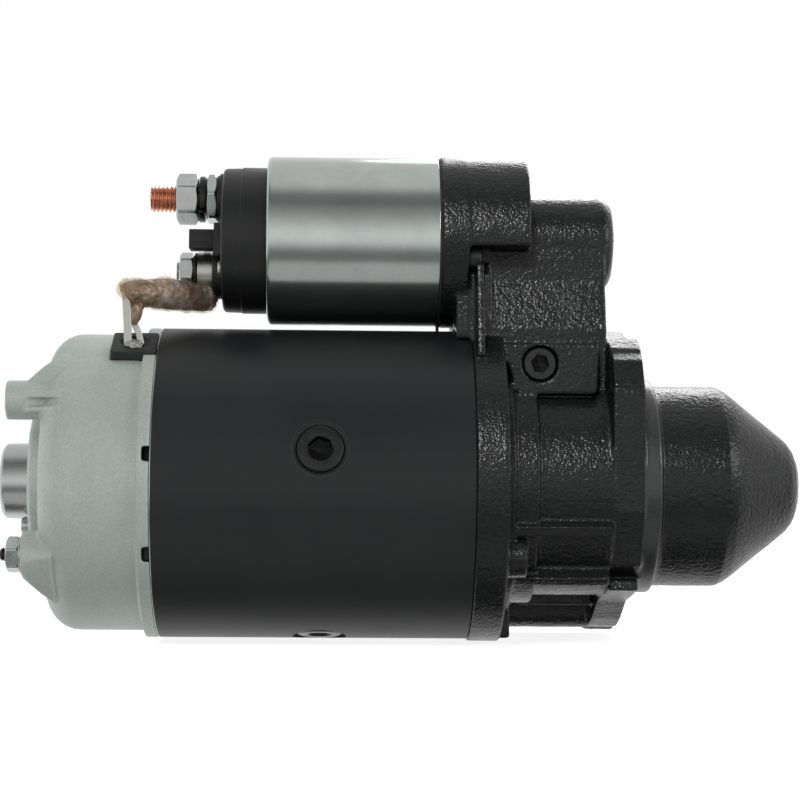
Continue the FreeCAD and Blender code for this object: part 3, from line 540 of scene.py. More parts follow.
def smooth_by_angle(obj, degrees):
    """Smooth shading, sharp where faces meet at more than the angle."""
    mesh = obj.data
    mesh.polygons.foreach_set("use_smooth", [True] * len(mesh.polygons))
    mesh.set_sharp_from_angle(angle=math.radians(degrees))


def bevel(obj, width, segments, over, smooth):
    """Bevels edges sharper than over degrees, then shades smooth below smooth degrees."""
    modifier = obj.modifiers.new("edge", "BEVEL")
    modifier.width = width * MM
    modifier.segments = segments
    modifier.limit_method = "ANGLE"
    modifier.angle_limit = math.radians(over)
    modifier.harden_normals = False
    apply_modifiers(obj)
    smooth_by_angle(obj, smooth)


def boolean(obj, other, operation="DIFFERENCE"):
    modifier = obj.modifiers.new("cut", "BOOLEAN")
    modifier.operation = operation
    modifier.solver = "EXACT"
    modifier.object = other
    apply_modifiers(obj)
    bpy.data.objects.remove(other, do_unlink=True)


def turn(obj, degrees, axis):
    obj.data.transform(Matrix.Rotation(math.radians(degrees), 4, axis))
    obj.data.update()


def shift(obj, x=0.0, y=0.0, z=0.0):
    obj.data.transform(Matrix.Translation((x * MM, y * MM, z * MM)))
    obj.data.update()


def x_to_y(obj, x=0.0, z=0.0):
    """Turns a shape built along X to lie along Y through (x, z)."""
    obj.data.transform(Matrix(((0, -1, 0, x * MM), (1, 0, 0, 0), (0, 0, 1, z * MM),
                               (0, 0, 0, 1))))
    obj.data.update()


def face_data(obj):
    """Face centres (mm), face normals and the centres' distances from the shaft axis (mm)."""
    polygons = obj.data.polygons
    arrays = []
    for attribute in ("center", "normal"):
        flat = np.empty(len(polygons) * 3)
        polygons.foreach_get(attribute, flat)
        arrays.append(flat.reshape(-1, 3))
    centres = arrays[0] * 1000
    return centres, arrays[1], np.hypot(centres[:, 1], centres[:, 2])


def second_material(obj, material, mask):
    """Gives the masked faces a material added in the second slot."""
    obj.data.materials.append(material)
    obj.data.polygons.foreach_set("material_index", mask.astype(np.int32))


def round_profile(points, radii, steps):
    """Rounds the corners of an open (x, r) line; radii is one number or one per point."""
    if not isinstance(radii, list):
        radii = [radii] * len(points)
    rounded = []
    for i, point in enumerate(points):
        if i == 0 or i == len(points) - 1 or radii[i] <= 0:
            rounded.append(point)
            continue
        corner = Vector(point)
        before = Vector(points[i - 1]) - corner
        after = Vector(points[i + 1]) - corner
        len_before, len_after = before.length, after.length
        if len_before < 1e-6 or len_after < 1e-6:
            rounded.append(point)
            continue
        before.normalize()
        after.normalize()
        angle = before.angle(after)
        if angle > math.radians(176):
            rounded.append(point)
            continue
        trim = min(radii[i] / math.tan(angle / 2), len_before * 0.49, len_after * 0.49)
        radius = trim * math.tan(angle / 2)
        centre = corner + (before + after).normalized() * (radius / math.sin(angle / 2))
        start = corner + before * trim - centre
        stop = corner + after * trim - centre
        angle0 = math.atan2(start.y, start.x)
        angle1 = math.atan2(stop.y, stop.x)
        sweep = (angle1 - angle0 + math.pi) % (2 * math.pi) - math.pi
        for k in range(steps + 1):
            q = angle0 + sweep * k / steps
            rounded.append((centre.x + radius * math.cos(q), centre.y + radius * math.sin(q)))
    return rounded


def lathe(name, profile, material, y=0.0, z=0.0, segments=96, rounding=0.0, steps=4):
    """Body of revolution about a line parallel to X through (y, z).

    The profile is (x, r) points: a closed loop, unless it starts and ends on the axis.
    """
    on_axis = profile[0][1] < 1e-9 and profile[-1][1] < 1e-9
    if rounding and on_axis:
        profile = round_profile(profile, rounding, steps)
    elif rounding:
        if not isinstance(rounding, list):
            rounding = [rounding] * len(profile)
        loop = [profile[-1]] + profile + [profile[0]]
        profile = round_profile(loop, [0] + rounding + [0], steps)[1:-1]
    verts, faces, rings = [], [], []
    for x, r in profile:
        start = len(verts)
        if r < 1e-9:
            verts.append((x, y, z))
        else:
            for k in range(segments):
                a = 2 * math.pi * k / segments
                verts.append((x, y + r * math.cos(a), z + r * math.sin(a)))
        rings.append(range(start, len(verts)))
    for i in range(len(rings) - 1 if on_axis else len(rings)):
        a, b = rings[i], rings[(i + 1) % len(rings)]
        if len(a) == 1 and len(b) == 1:
            continue
        for k in range(segments):
            k2 = (k + 1) % segments
            if len(a) == 1:
                faces.append((a[0], b[k2], b[k]))
            elif len(b) == 1:
                faces.append((a[k], a[k2], b[0]))
            else:
                faces.append((a[k], a[k2], b[k2], b[k]))
    return mesh_object(name, verts, faces, material)


def y_lathe(name, profile, material, x=0.0, z=0.0, segments=64, rounding=0.0):
    """As lathe, about a line parallel to Y; the profile is (y, r)."""
    obj = lathe(name, profile, material, segments=segments, rounding=rounding)
    x_to_y(obj, x, z)
    return obj


def box(name, xs, ys, zs, material, edge=0.0, segments=2):
    verts = [(x, y, z) for x in xs for y in ys for z in zs]
    faces = [(0, 1, 3, 2), (4, 6, 7, 5), (0, 4, 5, 1), (2, 3, 7, 6), (0, 2, 6, 4), (1, 5, 7, 3)]
    obj = mesh_object(name, verts, faces, material, smooth=False)
    if edge:
        bevel(obj, edge, segments, over=30, smooth=50)
    return obj


def hex_nut(name, x0, x1, across_flats, y, z, material, turned, bore):
    """Hexagon nut along X, with the chamfer arcs that turning leaves on both ends."""
    flat = across_flats / 2
    around = 72
    angles = [2 * math.pi * k / around for k in range(around)]
    columns = []
    for a in angles:
        reach = flat / math.cos((a + math.pi / 6) % (math.pi / 3) - math.pi / 6)
        chamfer = max(0.0, reach - 0.94 * flat) * math.tan(math.radians(30))
        columns.append([
            (x0 + 0.35, bore), (x0, bore + 0.45), (x0, 0.93 * flat),
            (x0 + chamfer, reach * 0.999), (x0 + chamfer + 0.12, reach),
            (x1 - chamfer - 0.12, reach), (x1 - chamfer, reach * 0.999),
            (x1, 0.93 * flat), (x1, bore + 0.45), (x1 - 0.35, bore)])
    verts = []
    for ring in zip(*columns):
        for a, (x, r) in zip(angles, ring):
            a += math.radians(turned)
            verts.append((x, y + r * math.cos(a), z + r * math.sin(a)))
    faces = skin(len(columns[0]), around, closed=True)
    obj = mesh_object(name, verts, faces, material)
    smooth_by_angle(obj, 24)
    return obj


# Thread height over one pitch, 0 at the root and 1 at the crest
THREAD_HEIGHTS = [0.0, 0.10, 0.45, 0.9, 1.0, 0.9, 0.45, 0.10]


def thread(name, x0, x1, radius, pitch, y, z, material, segments, depth, tip):
    """Rod along X with a helical thread; the x0 end is chamfered, tip mm in from the crest."""
    per_pitch = len(THREAD_HEIGHTS)
    count = int(math.ceil((x1 - x0) / pitch * per_pitch))
    verts = []
    for i in range(count + 1):
        x = x0 + (x1 - x0) * i / count
        limit = max(radius - tip + (x - x0) * 1.1, radius - depth * 1.6)
        for k in range(segments):
            a = 2 * math.pi * k / segments
            f = ((x - x0) / pitch + a / (2 * math.pi)) % 1.0 * per_pitch
            low = THREAD_HEIGHTS[int(f) % per_pitch]
            high = THREAD_HEIGHTS[(int(f) + 1) % per_pitch]
            height = low * (1 - (f % 1)) + high * (f % 1)
            r = min(radius - depth * (1 - height), limit)
            verts.append((x, y + r * math.cos(a), z + r * math.sin(a)))
    faces = skin(count + 1, segments)
    centre0 = len(verts)
    last = count * segments
    verts += [(x0 - 0.05, y, z), (x1, y, z)]
    for k in range(segments):
        k2 = (k + 1) % segments
        faces.append((centre0, k2, k))
        faces.append((centre0 + 1, last + k, last + k2))
    obj = mesh_object(name, verts, faces, material)
    smooth_by_angle(obj, 50)
    return obj


def split_washer(name, x0, x1, outer, inner, z, material, turned, rise):
    """Split spring washer about a line parallel to X, climbing by rise over its one turn."""
    gap = math.radians(9)
    steps = 64
    thick = (x1 - x0) - rise
    c = 0.22                                    # corner chamfer
    section = [(0, inner + c), (0, outer - c), (c, outer), (thick - c, outer),
               (thick, outer - c), (thick, inner + c), (thick - c, inner), (c, inner)]
    verts = []
    for i in range(steps + 1):
        a = gap / 2 + (2 * math.pi - gap) * i / steps + math.radians(turned)
        for x, r in section:
            verts.append((x0 + rise * i / steps + x, r * math.cos(a), z + r * math.sin(a)))
    m = len(section)
    faces = skin(steps + 1, m)
    faces += [tuple(range(m - 1, -1, -1)), tuple(steps * m + k for k in range(m))]
    obj = mesh_object(name, verts, faces, material)
    smooth_by_angle(obj, 40)
    return obj


def hex_socket_cutter(y0, y1, across_flats, material):
    """Hexagonal prism along Y with a cone beyond y1, as a drilled socket ends."""
    rc = across_flats / math.sqrt(3)
    verts = [(rc * math.cos(math.pi / 3 * k), y, rc * math.sin(math.pi / 3 * k))
             for y in (y0, y1) for k in range(6)]
    verts.append((0, y1 + rc * 0.45, 0))
    faces = []
    for k in range(6):
        k2 = (k + 1) % 6
        faces += [(k, k2, 6 + k2, 6 + k), (6 + k, 6 + k2, 12)]
    faces.append(tuple(range(5, -1, -1)))
    return mesh_object("hexcut", verts, faces, material, smooth=False)


REPLACED = set()        # CAD nodes that a finished piece stands in for


def place(obj, node=None, body="root"):
    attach(obj, body)
    if node:
        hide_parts(node)
        REPLACED.add(node)


# =====================================================================================
# Castings: the CAD solid is remeshed finely and softened, and its raw skin displaced;
# machined faces stay smooth
# =====================================================================================
def prism(name, x0, x1, outline, material):
    """Closed prism along X from an outline of (y, z)."""
    n = len(outline)
    verts = [(x, y, z) for x in (x0, x1) for y, z in outline]
    faces = [tuple(range(n)), tuple(range(2 * n - 1, n - 1, -1))]
    faces += [(i, n + i, n + (i + 1) % n, (i + 1) % n) for i in range(n)]
    return mesh_object(name, verts, faces, material, smooth=False)


def cast_copy(name, node, voxel, smoothing, material, extra=()):
    """Remeshed, softened copy of a CAD node, fused with the extra solids."""
    mesh = frame["nodes"][node].data.copy()
    obj = bpy.data.objects.new(name, mesh)
    COLLECTION.objects.link(obj)
    mesh.materials.clear()
    mesh.materials.append(material)
    if extra:
        obj = join(name, [obj, *extra])
    weld = obj.modifiers.new("weld", "WELD")
    weld.merge_threshold = 0.00001
    remesh = obj.modifiers.new("remesh", "REMESH")
    remesh.mode = "VOXEL"
    remesh.voxel_size = voxel * MM
    remesh.adaptivity = 0.0
    soften = obj.modifiers.new("soften", "SMOOTH")
    soften.factor = 0.5
    soften.iterations = smoothing
    apply_modifiers(obj)
    obj.data.polygons.foreach_set("use_smooth", [True] * len(obj.data.polygons))
    return obj


def displace(obj, offset):
    """Moves each vertex along its normal by offset(positions in mm, normals) mm."""
    mesh = obj.data
    arrays = []
    for attribute in ("co", "normal"):
        flat = np.empty(len(mesh.vertices) * 3)
        mesh.vertices.foreach_get(attribute, flat)
        arrays.append(flat.reshape(-1, 3))
    positions, normals = arrays
    positions += normals * (offset(positions * 1000.0, normals) * MM)[:, None]
    mesh.vertices.foreach_set("co", positions.ravel())
    mesh.update()


def cloud(points, size, seed):
    """Smooth noise with lumps of the given size, one value per point."""
    values = (noise.noise((x + seed, y - seed, z + 0.5 * seed)) for x, y, z in points * (1 / size))
    return np.fromiter(values, dtype=float, count=len(points))


def smoothstep(value, start, stop):
    t = np.clip((value - start) / (stop - start), 0, 1)
    return t * t * (3 - 2 * t)


# Solids added to the housing: (x0, x1, outline of (y, z))
HOUSING_EXTRAS = [
    # fuller flange above the shaft
    (-11.3, -0.3, [(-38.5, 34.0), (-40.0, 36.0), (-34.5, 45.3), (-25.0, 49.9), (-10.0, 53.4),
                   (4.5, 56.0), (20.0, 59.4), (34.0, 60.6), (36.5, 56.0), (20.0, 53.0),
                   (0.0, 49.0), (-24.0, 43.0), (-35.0, 33.0)]),
    # and below it
    (-11.3, -0.3, [(-24.0, -34.0), (-25.0, -38.0), (-13.0, -40.5), (4.5, -43.7), (20.0, -51.3),
                   (30.0, -54.6), (37.6, -55.6), (37.6, -50.0), (26.0, -46.0), (4.5, -39.0)]),
    # upright web beside the lever housing
    (-60.2, -57.6, [(-29.6, 80.5), (-33.0, 66.0), (-38.4, 46.5), (-35.5, 44.0), (-18.0, 44.0),
                    (-14.0, 80.5)]),
]


def housing_skin(points, normals):
    """Cast roughness of the housing, faded out on its machined faces."""
    x, y, z = points.T
    r = np.hypot(y, z)
    rough = np.ones(len(points))
    pilot = (x > -0.6) & (x < 6.9) & (r > 38.6) & (r < 41.2)
    flange_face = (np.abs(x) < 0.5) & (normals[:, 0] > 0.7)
    spigot_face = (x < -60.9) & (normals[:, 0] < -0.5)
    seat_face = (x < -71.9) & (normals[:, 0] < -0.5)
    for machined in (pilot, flange_face, spigot_face, seat_face):
        rough *= 1 - machined
    inside = (r < 31.6) & (x < 47) & (z < 32)
    rough *= np.where(inside, 0.25, 1.0)
    bore_distance = np.minimum(np.hypot(y - 46, z - 46), np.hypot(y - 46, z + 46))
    rough *= smoothstep(bore_distance, 6.9, 7.6)
    rim = (r > 57.3) & (x < -49)
    pebble_height = np.where(rim, 0.05, 0.085) + 0.01 * smoothstep(x, 6.0, 12.0)
    pebbles = cloud(points, size=1.25, seed=3.1)
    waves = cloud(points, size=7.5, seed=9.2)
    return rough * (pebble_height * pebbles * 1.5 + 0.10 * waves)


def build_housing():
    paint = MAT["cast_black"]
    extra = [prism("extra", x0, x1, outline, paint) for x0, x1, outline in HOUSING_EXTRAS]
    obj = cast_copy("drive_end_housing_casting", "drive_end_housing", voxel=0.62, smoothing=4,
                    material=paint, extra=extra)
    displace(obj, housing_skin)
    # the turned pilot and the flange's milled face
    centres, normals, r = face_data(obj)
    x = centres[:, 0]
    pilot = (x > -0.5) & (x < 6.8) & (r > 38.9) & (r < 41.0)
    flange_face = (np.abs(x) < 0.5) & (normals[:, 0] > 0.8) & (r > 39)
    second_material(obj, MAT["pilot"], pilot | flange_face)
    place(obj, "drive_end_housing")


def cover_skin(points, normals):
    """Faint cast skin on the cover, none on the band next to the tube."""
    cast = np.where(points[:, 0] > -175.9, 0.0, 1.0)
    grain = cloud(points, size=1.6, seed=5.0)
    waves = cloud(points, size=13.0, seed=1.0)
    return cast * (0.022 * grain + 0.05 * waves)


def build_cover():
    obj = cast_copy("commutator_end_cover_casting", "commutator_end_cover", voxel=0.5,
                    smoothing=3, material=MAT["cast_alloy"])
    displace(obj, cover_skin)
    # the two small windows open into the inside; black paint on their faces is painted shade for
    # the dark there
    centres, normals, r = face_data(obj)
    x = centres[:, 0]
    second_material(obj, MAT["satin_black"], (x > -178.35) & (x < -175.2) & (r < 56.3))
    place(obj, "commutator_end_cover")


# =====================================================================================
# Pole housing, solenoid case and rear bearing cap
# =====================================================================================
TUBE_OUTER, TUBE_INNER = 57.5, 49.6
TUBE_X0, TUBE_X1 = -175.45, -61.55
# Countersunk recess for a pole screw: (y, r) for a screw at -Y
POLE_RECESS = [(-60.0, 0.0), (-60.0, 9.9), (-56.2, 9.9), (-55.9, 8.7), (-52.2, 5.2),
               (-47.0, 5.2), (-47.0, 0.0)]


def build_yoke():
    """Steel tube with four countersunk screw recesses and lightly broken edges."""
    stations = [TUBE_X0, -174.2, -171.5, -168.0]
    stations += [-164.0 + 4.0 * i for i in range(10)]
    stations += [-127.6 + 1.5 * i for i in range(16)]
    stations += [-101.0 + 4.0 * i for i in range(9)]
    stations += [-65.4, -62.6, TUBE_X1]
    profile = [(x, TUBE_OUTER) for x in stations]
    profile += [(x, TUBE_INNER) for x in (TUBE_X1, -100.0, -132.0, TUBE_X0)]
    rounding = [0.45] + [0.0] * (len(stations) - 2) + [0.45, 0.3, 0.0, 0.0, 0.3]
    obj = lathe("pole_housing_tube", profile, MAT["satin_black"], segments=240,
                rounding=rounding, steps=3)
    for angle in POLE_SCREW_ANGLES:
        recess = y_lathe("recess", POLE_RECESS, MAT["satin_black"], x=POLE_SCREW_X)
        turn(recess, angle, "X")
        boolean(obj, recess)
    bevel(obj, 0.22, segments=2, over=28, smooth=30)
    weighted = obj.modifiers.new("weighted", "WEIGHTED_NORMAL")
    weighted.keep_sharp = True
    weighted.weight = 100
    apply_modifiers(obj)
    # bare metal on the rim's chamfer against the end cover
    centres, normals, r = face_data(obj)
    second_material(obj, MAT["zinc_case"], (centres[:, 0] < -175.1) & (r > 56.6))
    place(obj, "pole_housing")


# Pole screw and the chamfered mouth of its socket: (y, r)
POLE_SCREW = [(-56.9, 0.0), (-56.9, 7.2), (-56.55, 8.1), (-56.0, 8.45), (-52.45, 5.0),
              (-41.0, 4.9), (-40.6, 4.4), (-40.6, 0.0)]
SOCKET_MOUTH = [(-57.4, 0.0), (-57.4, 5.1), (-56.3, 4.15), (-55.9, 3.9), (-55.9, 0.0)]


def build_pole_screws():
    steel = MAT["black_steel"]
    screws = []
    for k, angle in enumerate(POLE_SCREW_ANGLES):
        screw = y_lathe("screw", POLE_SCREW, steel, segments=72)
        boolean(screw, hex_socket_cutter(-58.0, -51.8, across_flats=8.0, material=steel))
        boolean(screw, y_lathe("mouth", SOCKET_MOUTH, steel, segments=48))
        bevel(screw, 0.14, segments=2, over=25, smooth=32)
        turn(screw, 17.0 * (k + 1), "Y")
        shift(screw, x=POLE_SCREW_X)
        turn(screw, angle, "X")
        screws.append(screw)
    place(join("pole_screw_set", screws), "pole_screws")


def build_solenoid_case():
    # (x, r) of a thin cup, closed at -X
    profile = [(-137.0, 27.72), (-137.0, 31.6), (-73.5, 31.6), (-73.5, 28.02), (-136.0, 28.02)]
    obj = lathe("solenoid_case_shell", profile, MAT["zinc_case"], z=SOLENOID_Z, segments=224,
                rounding=[0.15, 2.35, 0.35, 0.1, 0.1], steps=7)
    place(obj, "solenoid_case")


def build_seal_ring():
    x0, x1 = -73.5, -72.65
    ring = lathe("solenoid_seal_gasket", [(x0, 31.5), (x1, 31.5), (x1, 15.0), (x0, 15.0)],
                 MAT["rubber"], z=SOLENOID_Z, segments=128, rounding=0.25, steps=3)
    tab = box("tab", (x0, x1), (-4.0, 4.0), (57.4, 61.5), MAT["rubber"], edge=0.2)
    place(join("solenoid_seal_gasket", [ring, tab]), "solenoid_seal_ring")


# Drawn cup over the rear bearing: (x, r), and its corner radii
BEARING_CUP = [(-234.2, 0.0), (-234.2, 12.6), (-232.9, 13.95), (-222.8, 14.25), (-222.8, 16.6),
               (-221.8, 16.6), (-221.8, 13.3), (-232.1, 13.1), (-233.2, 11.6), (-233.2, 0.0)]
BEARING_CUP_RADII = [0, 1.9, 1.6, 0.9, 0.3, 0.1, 0.3, 0.8, 0.5, 0]


def build_bearing_cap():
    steel = MAT["drawn_steel"]
    parts = [lathe("rear_bearing_cap_cup", BEARING_CUP, steel, segments=128,
                   rounding=BEARING_CUP_RADII, steps=5)]
    ear = [(-222.8, 2.0), (-222.8, 4.6), (-221.8, 4.6), (-221.8, 2.0)]
    for y, z in CAP_SCREWS:
        parts.append(lathe("ear", ear, steel, y, z, segments=40, rounding=0.22, steps=2))
    place(join("rear_bearing_cap_cup", parts), "rear_bearing_cap")


# =====================================================================================
# Fasteners
# =====================================================================================
def build_cap_screws():
    """Slotted screws holding the bearing cap."""
    zinc = MAT["zinc_nut"]
    profile = [(-226.2, 0.0), (-226.2, 2.9), (-225.4, 3.4), (-222.8, 3.4), (-222.8, 2.0),
               (-214.2, 1.9), (-214.2, 0.0)]
    screws = []
    for y, z in CAP_SCREWS:
        screw = lathe("screw", profile, zinc, y, z, segments=48, rounding=0.25, steps=3)
        boolean(screw, box("slot", (-227.0, -225.1), (y - 0.5, y + 0.5), (z - 5, z + 5), zinc))
        smooth_by_angle(screw, 35)
        screws.append(screw)
    place(join("bearing_cap_screw_pair", screws), "bearing_cap_screws")


def build_through_bolts():
    steel = MAT["black_steel"]
    shank = [(-214.0, 0.0), (-214.0, 2.2), (-60.0, 2.2), (-44.7, 2.2), (-44.7, 0.0)]
    parts = []
    for y, z in THROUGH_BOLTS:
        parts.append(thread("thread", -229.0, -214.0, radius=2.5, pitch=0.8, y=y, z=z,
                            material=steel, segments=36, depth=0.8 * 0.58, tip=0.8))
        parts.append(lathe("shank", shank, steel, y, z, segments=32))
    place(join("through_bolt_pair", parts), "through_bolts")


def build_flange_nuts():
    zinc = MAT["zinc_nut"]
    flange = [(-222.5, 2.6), (-222.5, 5.5), (-221.6, 6.95), (-221.0, 7.0), (-221.0, 2.6)]
    parts = []
    for i, (y, z) in enumerate(THROUGH_BOLTS):
        parts.append(hex_nut("nut", -226.6, -222.0, across_flats=11.4, y=y, z=z, material=zinc,
                             turned=12.0 + 20 * i, bore=2.55))
        parts.append(lathe("flange", flange, zinc, y, z, segments=64, rounding=0.25, steps=3))
    place(join("through_bolt_flange_nuts", parts), "through_bolt_nuts")


def build_pivot_bolt():
    """Socket screw through the lever housing along Y, with a nut at +Y."""
    paint = MAT["black_paint_bolt"]
    profile = [(-29.2, 0.0), (-29.2, 5.5), (-28.6, 6.1), (-24.5, 6.1), (-24.5, 3.98),
               (27.4, 3.95), (28.0, 3.3), (28.0, 0.0)]
    screw = y_lathe("screw", profile, paint, rounding=0.3)
    boolean(screw, hex_socket_cutter(-30.0, -26.0, across_flats=6.0, material=paint))
    bevel(screw, 0.12, segments=2, over=25, smooth=32)
    turn(screw, 11, "Y")
    pivot_x, pivot_z = LEVER_PIVOT
    shift(screw, x=pivot_x, z=pivot_z)
    nut = hex_nut("nut", 26.0, 31.0, across_flats=13.0, y=0, z=0, material=paint, turned=9.0,
                  bore=4.05)
    x_to_y(nut, pivot_x, pivot_z)
    place(join("lever_pivot_screw", [screw, nut]), "lever_pivot_bolt")


def build_solenoid_screws():
    """Two socket screws into the solenoid, with their heads at +X."""
    paint = MAT["black_paint_bolt"]
    profile = [(-58.3, 0.0), (-58.3, 4.3), (-58.9, 5.0), (-62.8, 5.0), (-62.8, 2.98),
               (-76.3, 2.9), (-76.3, 0.0)]
    z = 83.0
    socket_mouth_x = -57.8
    screws = []
    for y in (-23.3, 23.3):
        screw = lathe("screw", profile, paint, y, z, segments=48, rounding=0.2, steps=2)
        socket = hex_socket_cutter(-30.0, -26.6, across_flats=5.0, material=paint)
        turn(socket, 90, "Z")               # its cone now points along -X
        mouth = max(v.co.x for v in socket.data.vertices)
        socket.data.transform(Matrix.Translation((socket_mouth_x * MM - mouth, y * MM, z * MM)))
        boolean(screw, socket)
        smooth_by_angle(screw, 32)
        screws.append(screw)
    place(join("solenoid_screw_pair", screws), "solenoid_screws")


# =====================================================================================
# Terminals and switch cap on the solenoid's -X end
# =====================================================================================
def build_stud(name, node, rod, neck_radii):
    """Threaded rod with its copper head inside the cap."""
    r0, r1 = neck_radii
    profile = [(-153.0, 0.0), (-153.0, r0), (-148.3, r1), (-148.3, 6.4), (-144.6, 6.4),
               (-144.6, 0.0)]
    threaded = thread("stud_thread", x1=-153.0, y=0, **rod)
    head = lathe("head", profile, MAT["copper"], z=rod["z"], segments=48, rounding=0.3, steps=2)
    place(join(name, [threaded, head]), node)


def build_terminals():
    zinc, steel = MAT["zinc_nut"], MAT["black_steel"]
    upper, lower = BATTERY_STUD_Z, MOTOR_STUD_Z
    build_stud("battery_stud_copper", "battery_stud",
               dict(x0=-181.0, radius=5.0, pitch=1.5, z=upper, material=MAT["copper"],
                    segments=56, depth=0.86, tip=0.75), neck_radii=(4.2, 4.6))
    build_stud("motor_stud_threaded", "motor_stud",
               dict(x0=-171.0, radius=4.0, pitch=1.25, z=lower, material=zinc,
                    segments=48, depth=0.7, tip=0.6), neck_radii=(3.4, 3.7))
    # (x0, x1, across flats, z, turned by, bore)
    nuts = [hex_nut("nut", x0, x1, flats, 0, z, zinc, turned, bore)
            for x0, x1, flats, z, turned, bore in (
                (-171.3, -163.1, 16.6, upper, 7.0, 5.05),
                (-160.0, -155.95, 16.6, upper, 23.0, 5.05),
                (-169.8, -164.6, 13.0, lower, -6.0, 4.05))]
    place(join("terminal_nut_set", nuts), "terminal_nuts")
    flat_washer = [(-155.95, 5.15), (-155.95, 9.0), (-155.2, 9.0), (-155.2, 5.15)]
    washers = [
        split_washer("washer", -163.1, -160.0, outer=8.6, inner=5.15, z=upper, material=steel,
                     turned=215.0, rise=0.75),
        lathe("washer", flat_washer, steel, z=upper, segments=64, rounding=0.15, steps=2),
        split_washer("washer", -164.6, -163.0, outer=7.2, inner=4.15, z=lower, material=steel,
                     turned=120.0, rise=0.4)]
    place(join("terminal_washer_set", washers), "terminal_washers")


CAP_BODY = [(-153.5, 0.0), (-153.5, 26.9), (-146.6, 27.1), (-146.2, 27.4), (-136.0, 27.4),
            (-136.0, 22.0), (-148.4, 22.0), (-148.4, 0.0)]        # (x, r)
CAP_BODY_RADII = [0, 1.5, 0.15, 0.2, 0.3, 0.3, 0.6, 0]
# Bosses round the studs: (z, profile of (x, r))
CAP_BOSSES = [
    (BATTERY_STUD_Z, [(-155.2, 5.05), (-155.2, 9.6), (-153.0, 9.9), (-153.0, 5.05)]),
    (MOTOR_STUD_Z, [(-157.4, 4.05), (-157.4, 9.9), (-153.0, 10.2), (-153.0, 4.05)]),
]
# Boxes on the cap's -X face: (xs, ys, zs, edge, bevel segments)
CAP_BOXES = [
    ((-156.6, -153.0), (-15.5, -3.5), (83.5, 95.9), 0.5, 3),      # terminal block
    ((-165.7, -156.0), (-14.5, -4.5), (92.2, 93.5), 0.28, 2),     # walls of its hollow mouth
    ((-165.7, -156.0), (-14.5, -4.5), (86.3, 87.6), 0.28, 2),
    ((-165.7, -156.0), (-14.5, -13.4), (87.1, 92.7), 0.28, 2),
    ((-165.7, -156.0), (-5.6, -4.5), (87.1, 92.7), 0.28, 2),
    ((-154.7, -153.0), (-1.1, 1.1), (88.6, 96.0), 0.3, 2),        # locating ribs
    ((-155.0, -153.0), (-19.5, -15.0), (83.5, 91.0), 0.4, 2),
]


def build_switch_cap():
    black = MAT["moulding"]
    parts = [lathe("body", CAP_BODY, black, z=SOLENOID_Z, segments=160,
                   rounding=CAP_BODY_RADII, steps=5)]
    for z, profile in CAP_BOSSES:
        parts.append(lathe("boss", profile, black, z=z, segments=64, rounding=0.4, steps=3))
    for xs, ys, zs, edge, segments in CAP_BOXES:
        parts.append(box("block", xs, ys, zs, black, edge, segments))
    place(join("switch_cap_moulding", parts), "switch_cap")
    blade = box("control_blade_tab", (-163.6, -147.4), (-12.65, -6.35), (89.5, 90.3),
                MAT["tinned"], edge=0.12)
    place(blade, "control_blade")
    profile = [(-154.9, 0.0), (-154.9, 2.3), (-154.4, 3.0), (-153.5, 3.0), (-153.5, 1.5),
               (-150.7, 1.5), (-150.7, 0.0)]
    rivet = lathe("cap_rivet_head", profile, MAT["tinned"], y=-14.5, z=79.0, segments=40,
                  rounding=0.25, steps=3)
    place(rivet, "cap_rivet")


# =====================================================================================
# Motor lead, strips and grommet
# =====================================================================================
def spline_frames(controls, count):
    """Catmull-Rom curve in count steps: (point, side, up) with a steady frame."""
    controls = [Vector(p) for p in controls]
    controls = ([controls[0] * 2 - controls[1]] + controls
                + [controls[-1] * 2 - controls[-2]])
    spans = len(controls) - 3
    points = []
    for i in range(count + 1):
        t = spans * i / count
        k = min(int(t), spans - 1)
        u = t - k
        a, b, c, d = controls[k:k + 4]
        points.append(0.5 * ((2 * b) + (c - a) * u + (2 * a - 5 * b + 4 * c - d) * u * u
                             + (3 * b - a - 3 * c + d) * u ** 3))
    frames = []
    side = None
    for i in range(count + 1):
        tangent = (points[min(i + 1, count)] - points[max(i - 1, 0)]).normalized()
        if side is None:
            side = tangent.cross(Vector((0, 0, 1))).normalized()
        side = (side - tangent * side.dot(tangent)).normalized()
        frames.append((points[i], side, tangent.cross(side).normalized()))
    return frames


def tube_along(name, controls, count, around, radius, material, cap=True):
    """Tube whose radius(length so far, angle, fraction along) varies over its surface."""
    frames = spline_frames(controls, count)
    verts = []
    length = 0.0
    last = frames[0][0]
    for i, (point, side, up) in enumerate(frames):
        length += (point - last).length
        last = point
        for k in range(around):
            a = 2 * math.pi * k / around
            r = radius(length, a, i / count)
            verts.append(point + side * (r * math.cos(a)) + up * (r * math.sin(a)))
    faces = skin(count + 1, around)
    if cap:
        for i in (0, count):
            centre = len(verts)
            verts.append(frames[i][0])
            for k in range(around):
                a, b = i * around + k, i * around + (k + 1) % around
                faces.append((centre, b, a) if i == 0 else (centre, a, b))
    return mesh_object(name, verts, faces, material)


# Centre lines (x, y, z)
LEAD_LINE = [(-158.5, 0.4, 68.6), (-163.2, -5.0, 68.8), (-169.0, -11.6, 68.8),
             (-175.0, -18.0, 68.7), (-181.0, -23.8, 68.6), (-185.4, -27.2, 68.5),
             (-187.4, -28.4, 67.6)]
LIP_LINE = [(-185.6, -27.6, 72.4), (-187.9, -28.4, 71.9), (-188.7, -28.8, 69.2),
            (-187.9, -28.6, 66.0)]
TAIL_LINE = [(-182.6, -26.0, 66.0), (-182.9, -26.4, 62.5), (-183.3, -26.8, 59.4),
             (-184.4, -27.0, 57.0)]


